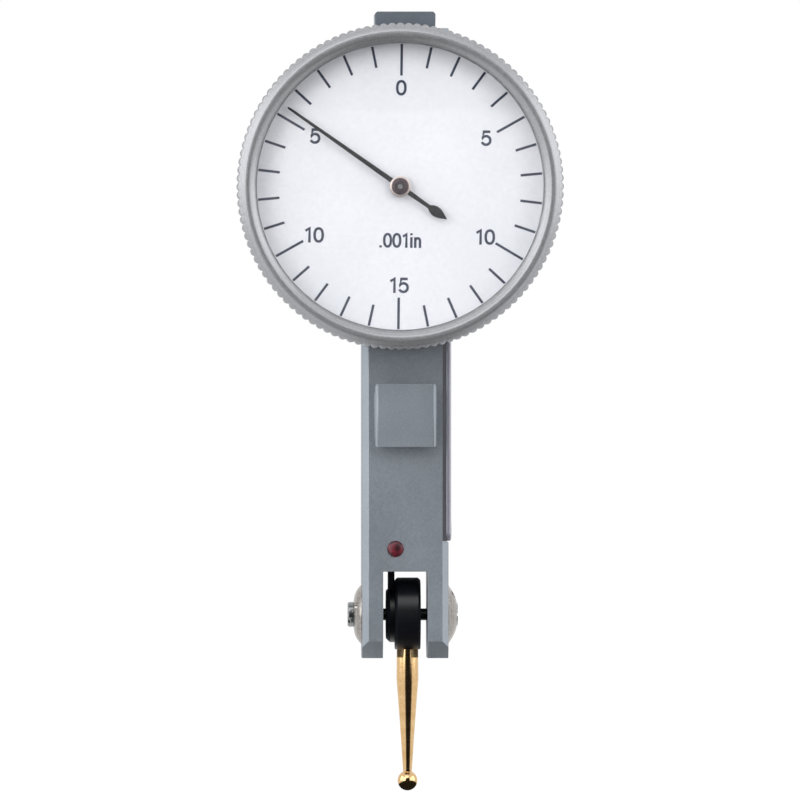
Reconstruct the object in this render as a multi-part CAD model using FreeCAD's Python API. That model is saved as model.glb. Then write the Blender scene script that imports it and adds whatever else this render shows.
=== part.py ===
import FreeCAD, Part
import math
import os

from FreeCAD import Vector

os.makedirs("parts", exist_ok=True)

# A lever-type dial test indicator with a 1 1/4 inch dial.  Millimetres.
# X runs across the narrow body, the dial looks towards -Y, and +Z is up.
# The origin is the middle of the rear dovetail's outer face, straight behind the dial's centre.

# ---------------------------------------------------------------- driving dimensions
# Quarter-inch dovetails, on the front, the top and the rear of the housing.
dovetail_width = 6.35
dovetail_height = 1.7
dovetail_length = 6.1
dovetail_flank_angle = 60.0
dovetail_chamfer = 0.25
front_dovetail_drop = 22.85

# Housing.
body_width = 8.64
body_depth = 9.8
shoulder_rise = 15.9
pivot_drop = 42.8
ear_overhang = 4.35
ear_bevel = 1.7
front_edge_chamfer = 0.6
rear_edge_chamfer = 0.35
slot_width = 4.45
slot_reach = 4.33
side_wall = 1.1
front_wall = 1.1
back_wall = 1.2
cavity_rise = 6.6
cavity_drop = 33.0
cavity_corner = 1.0
passage_half_depth = 2.2

# Side cover and its screws.
cover_thickness = 0.52
cover_recess = 0.26
cover_rise = 9.6
cover_drop = 35.4
cover_margin = 0.3
cover_corner = 0.8
cover_chamfer = 0.12
cover_screw_inset = 1.15

# Dial, case and bezel.
dial_offset = -0.6
bezel_diameter = 32.65
knurl_teeth = 120
knurl_depth = 0.22
bezel_length = 5.65
bezel_gap = 0.2
bezel_wall = 1.265
bezel_band = 0.825
bezel_chamfer_depth = 0.62
bezel_rear_chamfer = 0.4
dial_ledge = 0.7
window_flare = 0.7
window_flare_depth = 0.55
case_floor = 0.9
case_wall = 0.8
case_depth = 2.5
dial_thickness = 0.4
dial_hole_radius = 1.05
crystal_thickness = 0.72
crystal_seat_depth = 0.45
crystal_bevel = 0.3
ring_wire = 0.4
ring_seat_depth = 0.3
ring_gap_angle = 10.0
case_boss_height = 0.4
case_screw_spacing = 4.6
case_screw_reach = 10.5

# Gear train: a long sector drives the crown arbor, whose crown wheel drives the pointer arbor.
sector_full_teeth = 412
arbor_leaves = 12
crown_teeth = 40
center_leaves = 10
crown_radius = 3.2
tooth_share = 0.43
pressure_angle = 20.0
addendum_share = 0.95
dedendum_share = 1.2
sector_teeth = 7
sector_thickness = 0.55
leaf_length = 1.1
crown_face = 0.55
crown_rim = 0.45
crown_spokes = 3

# Arbors, jewels, bridge and cock.
arbor_radius = 0.45
pivot_radius = 0.14
pivot_length = 0.42
jewel_radius = 0.7
jewel_thickness = 0.5
center_jewel_radius = 0.85
center_shaft_radius = 0.25
bridge_thickness = 0.8
bridge_half_width = 1.2
bridge_cover_gap = 0.76
post_radius = 0.62
post_reach_y = 2.95
post_reach_z = 5.3
cock_thickness = 0.8
cock_foot_rise = 4.7
cock_tooth_gap = 0.25
cock_arm_half_height = 0.74

# Pointer and hairspring.
pointer_angle = 54.9
pointer_tip_gap = 0.55
pointer_root_width = 0.34
pointer_tip_width = 0.18
pointer_thickness = 0.15
pointer_height = 0.75
tail_start = 3.55
tail_length = 5.65
tail_width = 1.1
pointer_eye_radius = 0.95
bush_radius = 0.78
bush_rivet_radius = 0.44
bush_cap = 0.38
bush_skirt = 0.35
hairspring_turns = 5
hairspring_inner = 0.95
hairspring_pitch = 0.68
hairspring_strip = 0.08
hairspring_height = 0.3

# Lever, its axle and its centring spring.
lever_swing = 1.55
axle_radius = 0.6
axle_bury = 0.85
journal_radius = 1.1
hub_radius = 2.8
hub_chamfer = 0.4
hub_thickness = 0.86
arm_thickness = 0.66
arm_half_width = 1.1
eye_margin = 0.45
wire_pin_radius = 0.45
wire_width = 0.28
wire_gap = 0.3
pin_overrun = 0.2
spring_post_rise = 15.8
banking_pin_rise = 23.1
lever_pin_rise = 24.5
wire_leg_overrun = 0.8
sector_tail = 3.2
rivet_spacing = 2.2
rivet_radius = 0.3
rivet_head_radius = 0.5
rivet_head_height = 0.15

# Contact holder, stem and ball.
holder_radius = 3.7
holder_width = 2.57
holder_side_gap = 0.655
holder_chamfer = 0.25
stem_radius = 1.11
stem_collar_end = 7.6
stem_neck_end = 15.6
stem_neck_radius = 0.45
stem_thread_radius = 0.7
stem_thread_length = 1.4
ball_diameter = 2.0
contact_length = 16.66
clutch_recess_radius = 1.95
clutch_recess_depth = 0.95
clutch_nut_radius = 1.85
clutch_nut_thickness = 0.55

# Bearing screws and lock nuts on the ears.
bearing_screw_radius = 1.1
bearing_head_radius = 1.25
bearing_head_height = 0.58
nut_radius = 2.95
nut_nose_radius = 1.35
left_nut_height = 0.82
right_nut_height = 1.24
spanner_hole_radius = 0.36
spanner_circle_radius = 2.15

# Stop screw with its spot of sealing lacquer.
stop_screw_radius = 0.8
stop_screw_offset = -1.0
stop_screw_rise = 6.6
lacquer_height = 0.3

# Small screws.
small_screw_radius = 0.4
small_head_radius = 0.75
small_head_height = 0.4
thread_depth = 1.4
hole_spare = 0.2
screw_slot_width = 0.2

# Clearances.
running_clearance = 0.03
seat_clearance = 0.02
face_clearance = 0.1
swing_clearance = 0.12
thread_clearance = 0.02
blind_skin = 0.3
screw_hole_clearance = 0.05
plug_clearance = 0.005

# ---------------------------------------------------------------- derived places
body_back = -dovetail_height
body_front = body_back - body_depth
axis_y = (body_back + body_front) / 2.0
body_right = body_width / 2.0
body_left = -body_right
pivot_z = -pivot_drop
body_bottom = pivot_z - ear_overhang
cavity_left = body_left + side_wall
cavity_front = body_front + front_wall
cavity_back = body_back - back_wall
cover_seat = body_right - cover_recess
bridge_seat = cover_seat - bridge_cover_gap - bridge_thickness
slot_half = slot_width / 2.0
slot_ceiling = pivot_z + slot_reach

case_back = body_front
case_front = case_back - case_depth
case_radius = bezel_diameter / 2.0 - bezel_wall - 2.0 * running_clearance
case_floor_front = case_back - case_floor
bezel_back = body_front - bezel_gap
bezel_front = bezel_back - bezel_length
bezel_bore = bezel_diameter / 2.0 - bezel_wall
window_radius = case_radius - dial_ledge
dial_back = case_front - 2.0 * face_clearance
dial_front = dial_back - dial_thickness
pointer_plane = dial_front - pointer_height
hairspring_y = (case_floor_front + dial_back) / 2.0
ring_y = (case_floor_front + case_front) / 2.0

ratio_lever_to_arbor = sector_full_teeth / arbor_leaves
sector_module = 2.0 * pivot_drop / (sector_full_teeth + arbor_leaves)
sector_radius = sector_full_teeth * sector_module / 2.0
leaf_radius = arbor_leaves * sector_module / 2.0
crown_module = 2.0 * crown_radius / crown_teeth
center_pinion_radius = center_leaves * crown_module / 2.0
crown_pitch_x = dial_offset + center_pinion_radius
crown_tip_x = crown_pitch_x - addendum_share * crown_module
crown_root_x = crown_pitch_x + dedendum_share * crown_module
crown_inner = crown_radius - crown_face / 2.0
crown_outer = crown_radius + crown_face / 2.0

holder_right = slot_half - holder_side_gap
holder_left = holder_right - holder_width
arm_right = holder_left - running_clearance
arm_left = arm_right - arm_thickness
hub_left = arm_right - hub_thickness
holder_middle = (holder_left + holder_right) / 2.0
sector_right = arm_left
sector_left = sector_right - sector_thickness
leaf_left = (sector_left + sector_right - leaf_length) / 2.0
leaf_right = leaf_left + leaf_length
cock_front = axis_y - crown_inner + cock_tooth_gap
cock_back = cock_front + cock_thickness


# ---------------------------------------------------------------- small helpers
def box(x0, x1, y0, y1, z0, z1):
    return Part.makeBox(x1 - x0, y1 - y0, z1 - z0, Vector(x0, y0, z0))


def rod_x(radius, x0, x1, y, z):
    return Part.makeCylinder(radius, x1 - x0, Vector(x0, y, z), Vector(1, 0, 0))


def rod_y(radius, y0, y1, x, z):
    return Part.makeCylinder(radius, y1 - y0, Vector(x, y0, z), Vector(0, 1, 0))


def rod_z(radius, z0, z1, x, y):
    return Part.makeCylinder(radius, z1 - z0, Vector(x, y, z0), Vector(0, 0, 1))


def prism(points, step):
    """Extrude the closed polygon through the points by the vector step."""
    face = Part.Face(Part.makePolygon(points + points[:1]))
    return face.extrude(step)


def prism_x(outline, x0, x1):
    """Extrude a (y, z) outline from x0 to x1."""
    return prism([Vector(x0, y, z) for y, z in outline], Vector(x1 - x0, 0, 0))


def prism_y(outline, y0, y1):
    """Extrude an (x, z) outline from y0 to y1."""
    return prism([Vector(x, y0, z) for x, z in outline], Vector(0, y1 - y0, 0))


def turn(points, centre, axis):
    """Revolve the closed polygon through the points about an axis."""
    face = Part.Face(Part.makePolygon(points + points[:1]))
    return face.revolve(centre, axis, 360)


def turn_x(profile, y, z):
    """Turn an (x, radius) profile about a line along X."""
    return turn([Vector(x, y, z + r) for x, r in profile], Vector(0, y, z), Vector(1, 0, 0))


def turn_y(profile, x, z):
    """Turn an (y, radius) profile about a line along Y."""
    return turn([Vector(x + r, y, z) for y, r in profile], Vector(x, 0, z), Vector(0, 1, 0))


def dome_arc(x, z, rim_radius, rim_y, crown_y):
    """An arc from a round rim to the crown on the axis; its centre lies on that axis along Y."""
    rise = rim_y - crown_y
    radius = (rim_radius ** 2 + rise ** 2) / (2.0 * rise)
    half = math.asin(rim_radius / abs(radius)) / 2.0
    middle = Vector(x + abs(radius) * math.sin(half), crown_y + radius * (1.0 - math.cos(half)), z)
    return Part.Arc(Vector(x + rim_radius, rim_y, z), middle, Vector(x, crown_y, z)).toShape()


def polar(radius, degrees):
    angle = math.radians(degrees)
    return radius * math.cos(angle), radius * math.sin(angle)


def rounded_box_x(x0, x1, y0, y1, z0, z1, corner):
    """A block along X whose four long edges are rounded."""
    block = box(x0, x1, y0, y1, z0, z1)
    long_edges = [e for e in block.Edges if abs(e.Vertexes[0].X - e.Vertexes[1].X) > 1e-6]
    return block.makeFillet(corner, long_edges)


def edges_along(shape, direction, test):
    """Straight edges parallel to a direction whose middle passes a test."""
    found = []
    for edge in shape.Edges:
        ends = [v.Point for v in edge.Vertexes]
        if len(ends) != 2:
            continue
        run = ends[1].sub(ends[0])
        if run.Length < 1e-6 or abs(run.normalize().dot(direction)) < 0.999:
            continue
        if test(edge.CenterOfMass):
            found.append(edge)
    return found


def slotted_screw(head_height, shank_length):
    """A cheese-head screw seated on the plane x = 0, with its head towards +X."""
    slot_floor = head_height * 0.55
    head = rod_x(small_head_radius, 0.0, head_height, 0.0, 0.0)
    slot = box(slot_floor, head_height + 1.0, -small_head_radius - 1.0, small_head_radius + 1.0,
               -screw_slot_width / 2.0, screw_slot_width / 2.0)
    return head.cut(slot).fuse(rod_x(small_screw_radius, -shank_length, 0.0, 0.0, 0.0))


def placed(shape, point, direction=Vector(1, 0, 0), twist=0.0):
    """Turn a shape about its own X by twist, aim its +X along direction and move it to point."""
    turned = FreeCAD.Rotation(Vector(1, 0, 0), direction).multiply(FreeCAD.Rotation(Vector(1, 0, 0), twist))
    copy = shape.copy()
    copy.Placement = FreeCAD.Placement(point, turned)
    return copy


def group(shapes):
    return shapes[0] if len(shapes) == 1 else Part.makeCompound(shapes)


# ---------------------------------------------------------------- gear teeth
def involute(angle):
    return math.tan(angle) - angle


def tooth_half_angle(radius, pitch_radius, teeth):
    """Half of a tooth's angle at a radius: involute above the base circle, straight below it."""
    alpha = math.radians(pressure_angle)
    base = pitch_radius * math.cos(alpha)
    local = math.acos(min(1.0, base / max(radius, base)))
    return tooth_share * math.pi / teeth + involute(alpha) - involute(local)


def tooth_points(teeth, module, centre_degrees):
    """One tooth's outline as (radius, degrees), from its root on one side to the other."""
    pitch_radius = teeth * module / 2.0
    root = pitch_radius - dedendum_share * module
    tip = pitch_radius + addendum_share * module
    base = pitch_radius * math.cos(math.radians(pressure_angle))
    radii = [root, max(root, base), pitch_radius, tip]
    if base <= root:
        radii = [root, pitch_radius, tip]
    rising = [(r, -math.degrees(tooth_half_angle(r, pitch_radius, teeth))) for r in radii]
    falling = [(r, -a) for r, a in reversed(rising)]
    return [(r, centre_degrees + a) for r, a in rising + falling]


def pinion_outline(teeth, module, first_degrees):
    """A whole pinion's outline as (radius, degrees)."""
    outline = []
    for index in range(teeth):
        outline += tooth_points(teeth, module, first_degrees + index * 360.0 / teeth)
    return outline


# ---------------------------------------------------------------- housing
def dovetail_block():
    """A dovetail that stands on the plane y = 0 and looks towards -Y, its length along X."""
    undercut = dovetail_height / math.tan(math.radians(dovetail_flank_angle))
    outer = dovetail_width / 2.0
    root = outer - undercut
    bury = 0.3
    outline = [(bury, -root), (0.0, -root), (-dovetail_height, -outer), (-dovetail_height, outer),
               (0.0, root), (bury, root)]
    block = prism_x(outline, -dovetail_length / 2.0, dovetail_length / 2.0)
    ends = edges_along(block, Vector(0, 0, 1), lambda c: abs(c.y + dovetail_height) < 1e-6)
    return block.makeChamfer(dovetail_chamfer, ends)


def dovetails():
    block = dovetail_block()
    front = block.copy()
    front.Placement = FreeCAD.Placement(Vector(0, body_front, -front_dovetail_drop), FreeCAD.Rotation())
    rear = block.copy()
    rear.Placement = FreeCAD.Placement(Vector(0, body_back, 0), FreeCAD.Rotation(Vector(1, 0, 0), 180))
    top = block.copy()
    top.Placement = FreeCAD.Placement(Vector(0, axis_y, shoulder_rise), FreeCAD.Rotation(Vector(1, 0, 0), -90))
    return [front, rear, top]


def housing_blank():
    """The body's side outline with bevelled ears, extruded across its width."""
    outline = [(body_back, shoulder_rise), (body_front, shoulder_rise),
               (body_front, body_bottom + ear_bevel), (body_front + ear_bevel, body_bottom),
               (body_back - ear_bevel, body_bottom), (body_back, body_bottom + ear_bevel)]
    blank = prism_x(outline, body_left, body_right)
    front_edges = edges_along(blank, Vector(0, 0, 1), lambda c: abs(c.y - body_front) < 1e-6)
    blank = blank.makeChamfer(front_edge_chamfer, front_edges)
    rear_edges = edges_along(blank, Vector(0, 0, 1), lambda c: abs(c.y - body_back) < 1e-6)
    return blank.makeChamfer(rear_edge_chamfer, rear_edges)


def bridge_posts():
    """Two posts, front low and rear high, that carry the train bridge."""
    return [rod_x(post_radius, cavity_left - 0.2, bridge_seat, y, z) for y, z in post_places()]


def post_places():
    return [(axis_y - post_reach_y, -post_reach_z), (axis_y + post_reach_y, post_reach_z)]


def cover_screw_places():
    top = cover_rise - cover_screw_inset
    bottom = -cover_drop + cover_screw_inset
    front = body_front + cover_margin + cover_screw_inset + 0.3
    back = body_back - cover_margin - cover_screw_inset - 0.3
    return [(front, top), (back, top), (front, bottom), (back, bottom)]


def case_screw_places():
    half = case_screw_spacing / 2.0
    return [(-half, case_screw_reach), (half, case_screw_reach), (0.0, -case_screw_reach)]


def housing_cuts():
    cavity = rounded_box_x(cavity_left, body_right + 1.0, cavity_front, cavity_back,
                           -cavity_drop, cavity_rise, cavity_corner)
    recess = box(cover_seat, body_right + 1.0, body_front - 1.0, body_back + 1.0,
                 -cover_drop - face_clearance, cover_rise + face_clearance)
    slot = box(-slot_half, slot_half, body_front - 1.0, body_back + 1.0, body_bottom - 1.0, slot_ceiling)
    passage = box(hub_left - 0.2, arm_right + 0.25, axis_y - passage_half_depth, axis_y + passage_half_depth,
                  slot_ceiling - 0.5, -cavity_drop + 1.0)
    center_hole = rod_y(center_pinion_radius + 2.5 * crown_module, body_front - 1.0, cavity_front + 0.5,
                        dial_offset, 0.0)
    ear_bore = rod_x(bearing_screw_radius + thread_clearance, body_left - 1.0, body_right + 1.0,
                     axis_y, pivot_z)
    jewel_seat = rod_x(jewel_radius + seat_clearance, cavity_left - jewel_thickness, cavity_left + 0.1,
                       axis_y, 0.0)
    stop_hole = rod_y(stop_screw_radius + thread_clearance, body_front - 1.0, axis_y - arm_half_width + 0.3,
                      stop_screw_offset, pivot_z + stop_screw_rise)
    stud_hole = rod_x(wire_pin_radius + seat_clearance, body_left + blind_skin, cavity_left + 0.1,
                      axis_y, pivot_z + spring_post_rise)
    banking_hole = rod_x(wire_pin_radius + seat_clearance, body_left + blind_skin, cavity_left + 0.1,
                         axis_y, pivot_z + banking_pin_rise)
    tools = [cavity, recess, slot, passage, center_hole, ear_bore, jewel_seat,
             stop_hole, stud_hole, banking_hole]
    for y, z in cover_screw_places():
        tools.append(rod_x(small_screw_radius + thread_clearance, cover_seat - thread_depth - hole_spare,
                           cover_seat + 0.1, y, z))
    for x, z in case_screw_places():
        tools.append(rod_y(small_screw_radius + thread_clearance, body_front - 0.1, cavity_front + 0.01, x, z))
    y, z = cock_screw_place()
    tools.append(rod_x(small_screw_radius + thread_clearance, body_left + blind_skin, cavity_left + 0.1, y, z))
    return tools


def housing():
    body = housing_blank().fuse(dovetails())
    for tool in housing_cuts():
        body = body.cut(tool)
    body = body.fuse(bridge_posts())
    for y, z in post_places():
        body = body.cut(rod_x(small_screw_radius + thread_clearance, bridge_seat - thread_depth - hole_spare,
                              bridge_seat + 0.1, y, z))
    return body.removeSplitter()


# ---------------------------------------------------------------- covers, screws and stops
def side_cover():
    """A thin plate over the movement, its edge broken and its screw holes counterbored."""
    outer = cover_seat + cover_thickness
    plate = rounded_box_x(cover_seat, outer, body_front + cover_margin, body_back - cover_margin,
                          -cover_drop, cover_rise, cover_corner)
    plate = plate.makeChamfer(cover_chamfer, [e for e in plate.Edges if abs(e.CenterOfMass.x - outer) < 1e-6])
    for y, z in cover_screw_places():
        plate = plate.cut(rod_x(small_screw_radius + screw_hole_clearance, cover_seat - 0.1,
                                outer + 0.1, y, z))
        plate = plate.cut(rod_x(small_head_radius + screw_hole_clearance, cover_screw_seat(),
                                outer + 0.1, y, z))
    return plate


def cover_screw_seat():
    return cover_seat + cover_thickness * 0.4


def cover_screws():
    seat = cover_screw_seat()
    screw = slotted_screw(cover_seat + cover_thickness + 0.03 - seat, seat - cover_seat + thread_depth)
    return group([placed(screw, Vector(seat, y, z), twist=33.0 * z) for y, z in cover_screw_places()])


def case_screws():
    screw = slotted_screw(small_head_height, case_floor + front_wall - hole_spare)
    return group([placed(screw, Vector(x, case_floor_front, z), Vector(0, -1, 0), 25.0 * z)
                  for x, z in case_screw_places()])


def bridge_screws():
    screw = slotted_screw(small_head_height, bridge_thickness + thread_depth)
    return group([placed(screw, Vector(bridge_seat + bridge_thickness, y, z), twist=12.0 * z)
                  for y, z in post_places()])


def cock_screw_place():
    return (cock_front + cock_back) / 2.0 + 0.1, cock_foot_rise - 1.1


def cock_screw():
    y, z = cock_screw_place()
    screw = slotted_screw(small_head_height, cock_thickness + side_wall - blind_skin - hole_spare)
    return placed(screw, Vector(cavity_left + cock_thickness, y, z), twist=40.0)


def stop_screw():
    """The front travel stop: its tip waits for the lever arm at the end of its swing."""
    rise = stop_screw_rise
    swing = rise * math.tan(math.radians(lever_swing))
    tip = axis_y - arm_half_width - swing - 0.05
    z = pivot_z + rise
    shank = rod_y(stop_screw_radius, body_front + 0.35, tip, stop_screw_offset, z)
    slot = box(stop_screw_offset - 1.0, stop_screw_offset + 1.0, body_front, body_front + 0.7,
               z - 0.12, z + 0.12)
    return shank.cut(slot)


def sealing_lacquer():
    """A drop of lacquer that fills the stop screw's recess and stands a little proud."""
    z = pivot_z + stop_screw_rise
    floor = body_front + 0.33
    crown = body_front - lacquer_height
    rim = stop_screw_radius
    points = [Vector(stop_screw_offset, crown, z), Vector(stop_screw_offset, floor, z),
              Vector(stop_screw_offset + rim, floor, z), Vector(stop_screw_offset + rim, body_front, z)]
    edges = [Part.makeLine(points[0], points[1]), Part.makeLine(points[1], points[2]),
             Part.makeLine(points[2], points[3]), dome_arc(stop_screw_offset, z, rim, body_front, crown)]
    face = Part.Face(Part.Wire(edges))
    return face.revolve(Vector(stop_screw_offset, 0, z), Vector(0, 1, 0), 360)


# ---------------------------------------------------------------- case, bezel, crystal and dial
def dial_case():
    """A shallow cup with a groove outside for the ring that holds the bezel."""
    groove = ring_wire / 2.0 + running_clearance
    inner = case_radius - case_wall
    groove_floor = case_radius - ring_seat_depth
    boss = center_jewel_radius + 0.7
    boss_front = case_floor_front - case_boss_height
    profile = [(case_back, 0.5), (case_back, case_radius), (ring_y + groove, case_radius),
               (ring_y + groove, groove_floor), (ring_y - groove, groove_floor), (ring_y - groove, case_radius),
               (case_front, case_radius), (case_front, inner), (case_floor_front, inner),
               (case_floor_front, boss), (boss_front, boss), (boss_front, 0.5)]
    cup = turn_y(profile, dial_offset, 0.0)
    cup = cup.cut(rod_y(center_jewel_radius + seat_clearance, case_floor_front - 0.5, case_floor_front + 0.2,
                        dial_offset, 0.0))
    for x, z in case_screw_places():
        cup = cup.cut(rod_y(small_screw_radius + screw_hole_clearance, case_front - 0.1, case_back + 0.1, x, z))
    x, z = stud_place()
    return cup.cut(rod_y(wire_pin_radius + seat_clearance, case_floor_front - 0.1,
                         case_floor_front + 0.5, x, z))


def ring_inner():
    return case_radius - ring_seat_depth + running_clearance


def friction_ring():
    """A split ring of square spring wire between the case's groove and the bezel's."""
    inner = ring_inner()
    outer = inner + ring_wire
    half = ring_wire / 2.0
    corners = [Vector(inner, -half, 0), Vector(outer, -half, 0), Vector(outer, half, 0), Vector(inner, half, 0)]
    ring = Part.Face(Part.makePolygon(corners + corners[:1])).revolve(Vector(0, 0, 0), Vector(0, 1, 0),
                                                                      360.0 - ring_gap_angle)
    ring.translate(Vector(dial_offset, ring_y, 0))
    return ring


def bezel_profile():
    """The bezel's section: bore with the ring's groove, crystal seat, flared window and bevelled front."""
    groove_front = ring_y - ring_wire / 2.0 - running_clearance
    groove_back = ring_y + ring_wire / 2.0 + running_clearance
    groove_radius = ring_inner() + ring_wire + running_clearance
    outer = bezel_diameter / 2.0
    seat_radius = window_radius + crystal_seat_depth
    seat_front = bezel_front + window_flare_depth
    seat_back = seat_front + crystal_thickness
    return [(bezel_back, bezel_bore), (bezel_back, outer - bezel_rear_chamfer),
            (bezel_back - bezel_rear_chamfer, outer),
            (bezel_front + bezel_chamfer_depth, outer), (bezel_front, outer - bezel_band),
            (bezel_front, window_radius + window_flare), (seat_front, window_radius), (seat_front, seat_radius),
            (seat_back, seat_radius), (seat_back, window_radius), (dial_front, window_radius),
            (dial_front, bezel_bore), (groove_front, bezel_bore), (groove_front, groove_radius),
            (groove_back, groove_radius), (groove_back, bezel_bore)]


def knurl_prism():
    """A full-length straight knurl: one V-shaped tooth for each share of the circle."""
    outer = bezel_diameter / 2.0
    root = outer - knurl_depth
    step = 180.0 / knurl_teeth
    outline = []
    for index in range(2 * knurl_teeth):
        x, z = polar(outer if index % 2 == 0 else root, index * step)
        outline.append((dial_offset + x, z))
    return prism_y(outline, bezel_front - 0.5, bezel_back + 0.5)


def bezel():
    ring = turn_y(bezel_profile(), dial_offset, 0.0)
    return ring.common(knurl_prism())


def crystal():
    """A clear disc with a bevelled front, its rim held in the bezel's seat."""
    rim = window_radius + crystal_seat_depth - seat_clearance
    back = bezel_front + window_flare_depth + crystal_thickness - seat_clearance
    rim_front = bezel_front + window_flare_depth + seat_clearance
    front = rim_front - crystal_bevel
    bevel_start = window_radius - seat_clearance
    profile = [(back, 0.0), (back, rim), (rim_front, rim), (rim_front, bevel_start),
               (front, bevel_start - crystal_bevel), (front, 0.0)]
    return turn_y(profile, dial_offset, 0.0)


def dial_face():
    profile = [(dial_back, dial_hole_radius), (dial_back, case_radius), (dial_front, case_radius),
               (dial_front, dial_hole_radius)]
    return turn_y(profile, dial_offset, 0.0)


# ---------------------------------------------------------------- jewels, cock and bridge
def jewel(radius, thickness, hole):
    """A ring jewel with its back on x = 0, thickness towards -X."""
    return turn_x([(0.0, hole), (0.0, radius), (-thickness, radius), (-thickness, hole)], 0.0, 0.0)


def pivot_jewels():
    """Three equal jewels: housing wall, train bridge and cock."""
    stone = jewel(jewel_radius, jewel_thickness, pivot_radius + running_clearance)
    return group([placed(stone, Vector(cavity_left, axis_y, 0.0)),
                  placed(stone, Vector(bridge_seat + jewel_thickness, axis_y, 0.0)),
                  placed(stone, Vector(dial_offset, cock_front + jewel_thickness, 0.0), Vector(0, 1, 0))])


def center_jewel():
    stone = jewel(center_jewel_radius, 0.6, center_shaft_radius + running_clearance)
    return placed(stone, Vector(dial_offset, case_floor_front + 0.2, 0.0), Vector(0, 1, 0))


def pinion_cock():
    """A bracket on the left wall; its arm carries the pointer arbor's rear jewel."""
    reach = dial_offset + jewel_radius + 0.2
    leaf_tip = leaf_radius + addendum_share * sector_module
    arm = box(cavity_left, reach, cock_front, cock_back, -cock_arm_half_height, jewel_radius + 0.4)
    foot = box(cavity_left, cavity_left + cock_thickness, cock_front - 0.5, axis_y - leaf_tip - face_clearance,
               0.3, cock_foot_rise)
    cock = arm.fuse(foot)
    cock = cock.cut(rod_y(jewel_radius + seat_clearance, cock_front - 0.1, cock_front + jewel_thickness,
                          dial_offset, 0.0))
    cock = cock.cut(rod_y(pivot_radius + 0.15, cock_front, cock_back + 0.1, dial_offset, 0.0))
    y, z = cock_screw_place()
    cock = cock.cut(rod_x(small_screw_radius + screw_hole_clearance, cavity_left - 0.1,
                          cavity_left + cock_thickness + 0.1, y, z))
    return cock.removeSplitter()


def train_bridge():
    """A round-ended bar across the two posts; the crown arbor's right jewel is in its middle."""
    run = Vector(0, post_reach_y, post_reach_z)
    side = Vector(0, -post_reach_z, post_reach_y).normalize().multiply(bridge_half_width)
    middle = Vector(bridge_seat, axis_y, 0.0)
    corners = [middle - run - side, middle + run - side, middle + run + side, middle - run + side]
    bar = prism(corners, Vector(bridge_thickness, 0, 0))
    for y, z in post_places():
        bar = bar.fuse(rod_x(bridge_half_width, bridge_seat, bridge_seat + bridge_thickness, y, z))
    bar = bar.fuse(rod_x(jewel_radius + 0.9, bridge_seat, bridge_seat + bridge_thickness, axis_y, 0.0))
    room = rounded_box_x(0.0, cover_seat, cavity_front + face_clearance, cavity_back - face_clearance,
                         -cavity_drop, cavity_rise - face_clearance, cavity_corner - face_clearance)
    bar = bar.common(room)
    bar = bar.cut(rod_x(jewel_radius + seat_clearance, bridge_seat - 0.1, bridge_seat + jewel_thickness,
                        axis_y, 0.0))
    bar = bar.cut(rod_x(pivot_radius + 0.15, bridge_seat, bridge_seat + bridge_thickness + 0.1, axis_y, 0.0))
    for y, z in post_places():
        bar = bar.cut(rod_x(small_screw_radius + screw_hole_clearance, bridge_seat - 0.1,
                            bridge_seat + bridge_thickness + 0.1, y, z))
    return bar.removeSplitter()


# ---------------------------------------------------------------- crown arbor and wheel
def crown_arbor():
    """The arbor along X with twelve leaves cut in it, in mesh with the sector below."""
    left_end = cavity_left - pivot_length
    right_end = bridge_seat + pivot_length
    left_shoulder = cavity_left + running_clearance
    right_shoulder = bridge_seat - running_clearance
    seat = crown_root_x + crown_rim
    profile = [(left_end, 0.0), (left_end, pivot_radius), (left_shoulder, pivot_radius),
               (left_shoulder, arbor_radius), (seat, arbor_radius), (seat, arbor_radius + 0.45),
               (seat + 0.4, arbor_radius + 0.45), (seat + 0.4, arbor_radius), (right_shoulder, arbor_radius),
               (right_shoulder, pivot_radius), (right_end, pivot_radius), (right_end, 0.0)]
    shaft = turn_x(profile, axis_y, 0.0)
    half_step = 180.0 / arbor_leaves
    outline = []
    for radius, degrees in pinion_outline(arbor_leaves, sector_module, -90.0 + half_step):
        y, z = polar(radius, degrees)
        outline.append((axis_y + y, z))
    return shaft.fuse(prism_x(outline, leaf_left, leaf_right))


def crown_tooth():
    """One crown tooth at the wheel's front, tapering towards its tip at -X."""
    half_pitch = tooth_share * math.pi * crown_radius / crown_teeth
    slope = math.tan(math.radians(pressure_angle))
    tip_half = half_pitch - slope * (crown_pitch_x - crown_tip_x)
    root_half = half_pitch + slope * (crown_root_x - crown_pitch_x)
    bury = 0.05
    outline = [(crown_tip_x, -tip_half), (crown_tip_x, tip_half), (crown_root_x, root_half),
               (crown_root_x + bury, root_half), (crown_root_x + bury, -root_half), (crown_root_x, -root_half)]
    return prism_y(outline, axis_y - crown_outer, axis_y - crown_inner)


def crown_wheel():
    """A spoked contrate wheel: forty teeth stand on its rim, pointing along -X."""
    back = crown_root_x + crown_rim
    rim_in = crown_inner - 0.15
    rim = turn_x([(crown_root_x, rim_in), (crown_root_x, crown_outer), (back, crown_outer), (back, rim_in)],
                 axis_y, 0.0)
    hub = turn_x([(crown_root_x, arbor_radius), (crown_root_x, arbor_radius + 0.45),
                  (back, arbor_radius + 0.45),
                  (back, arbor_radius)], axis_y, 0.0)
    wheel = rim.fuse(hub)
    spoke = box(crown_root_x + 0.1, back, axis_y - 0.3, axis_y + 0.3, arbor_radius + 0.2, rim_in + 0.1)
    for index in range(crown_spokes):
        arm = spoke.copy()
        arm.rotate(Vector(0, axis_y, 0), Vector(1, 0, 0), index * 360.0 / crown_spokes)
        wheel = wheel.fuse(arm)
    tooth = crown_tooth()
    teeth = []
    for index in range(crown_teeth):
        copy = tooth.copy()
        copy.rotate(Vector(0, axis_y, 0), Vector(1, 0, 0), index * 360.0 / crown_teeth)
        teeth.append(copy)
    return wheel.fuse(teeth).removeSplitter()


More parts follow.
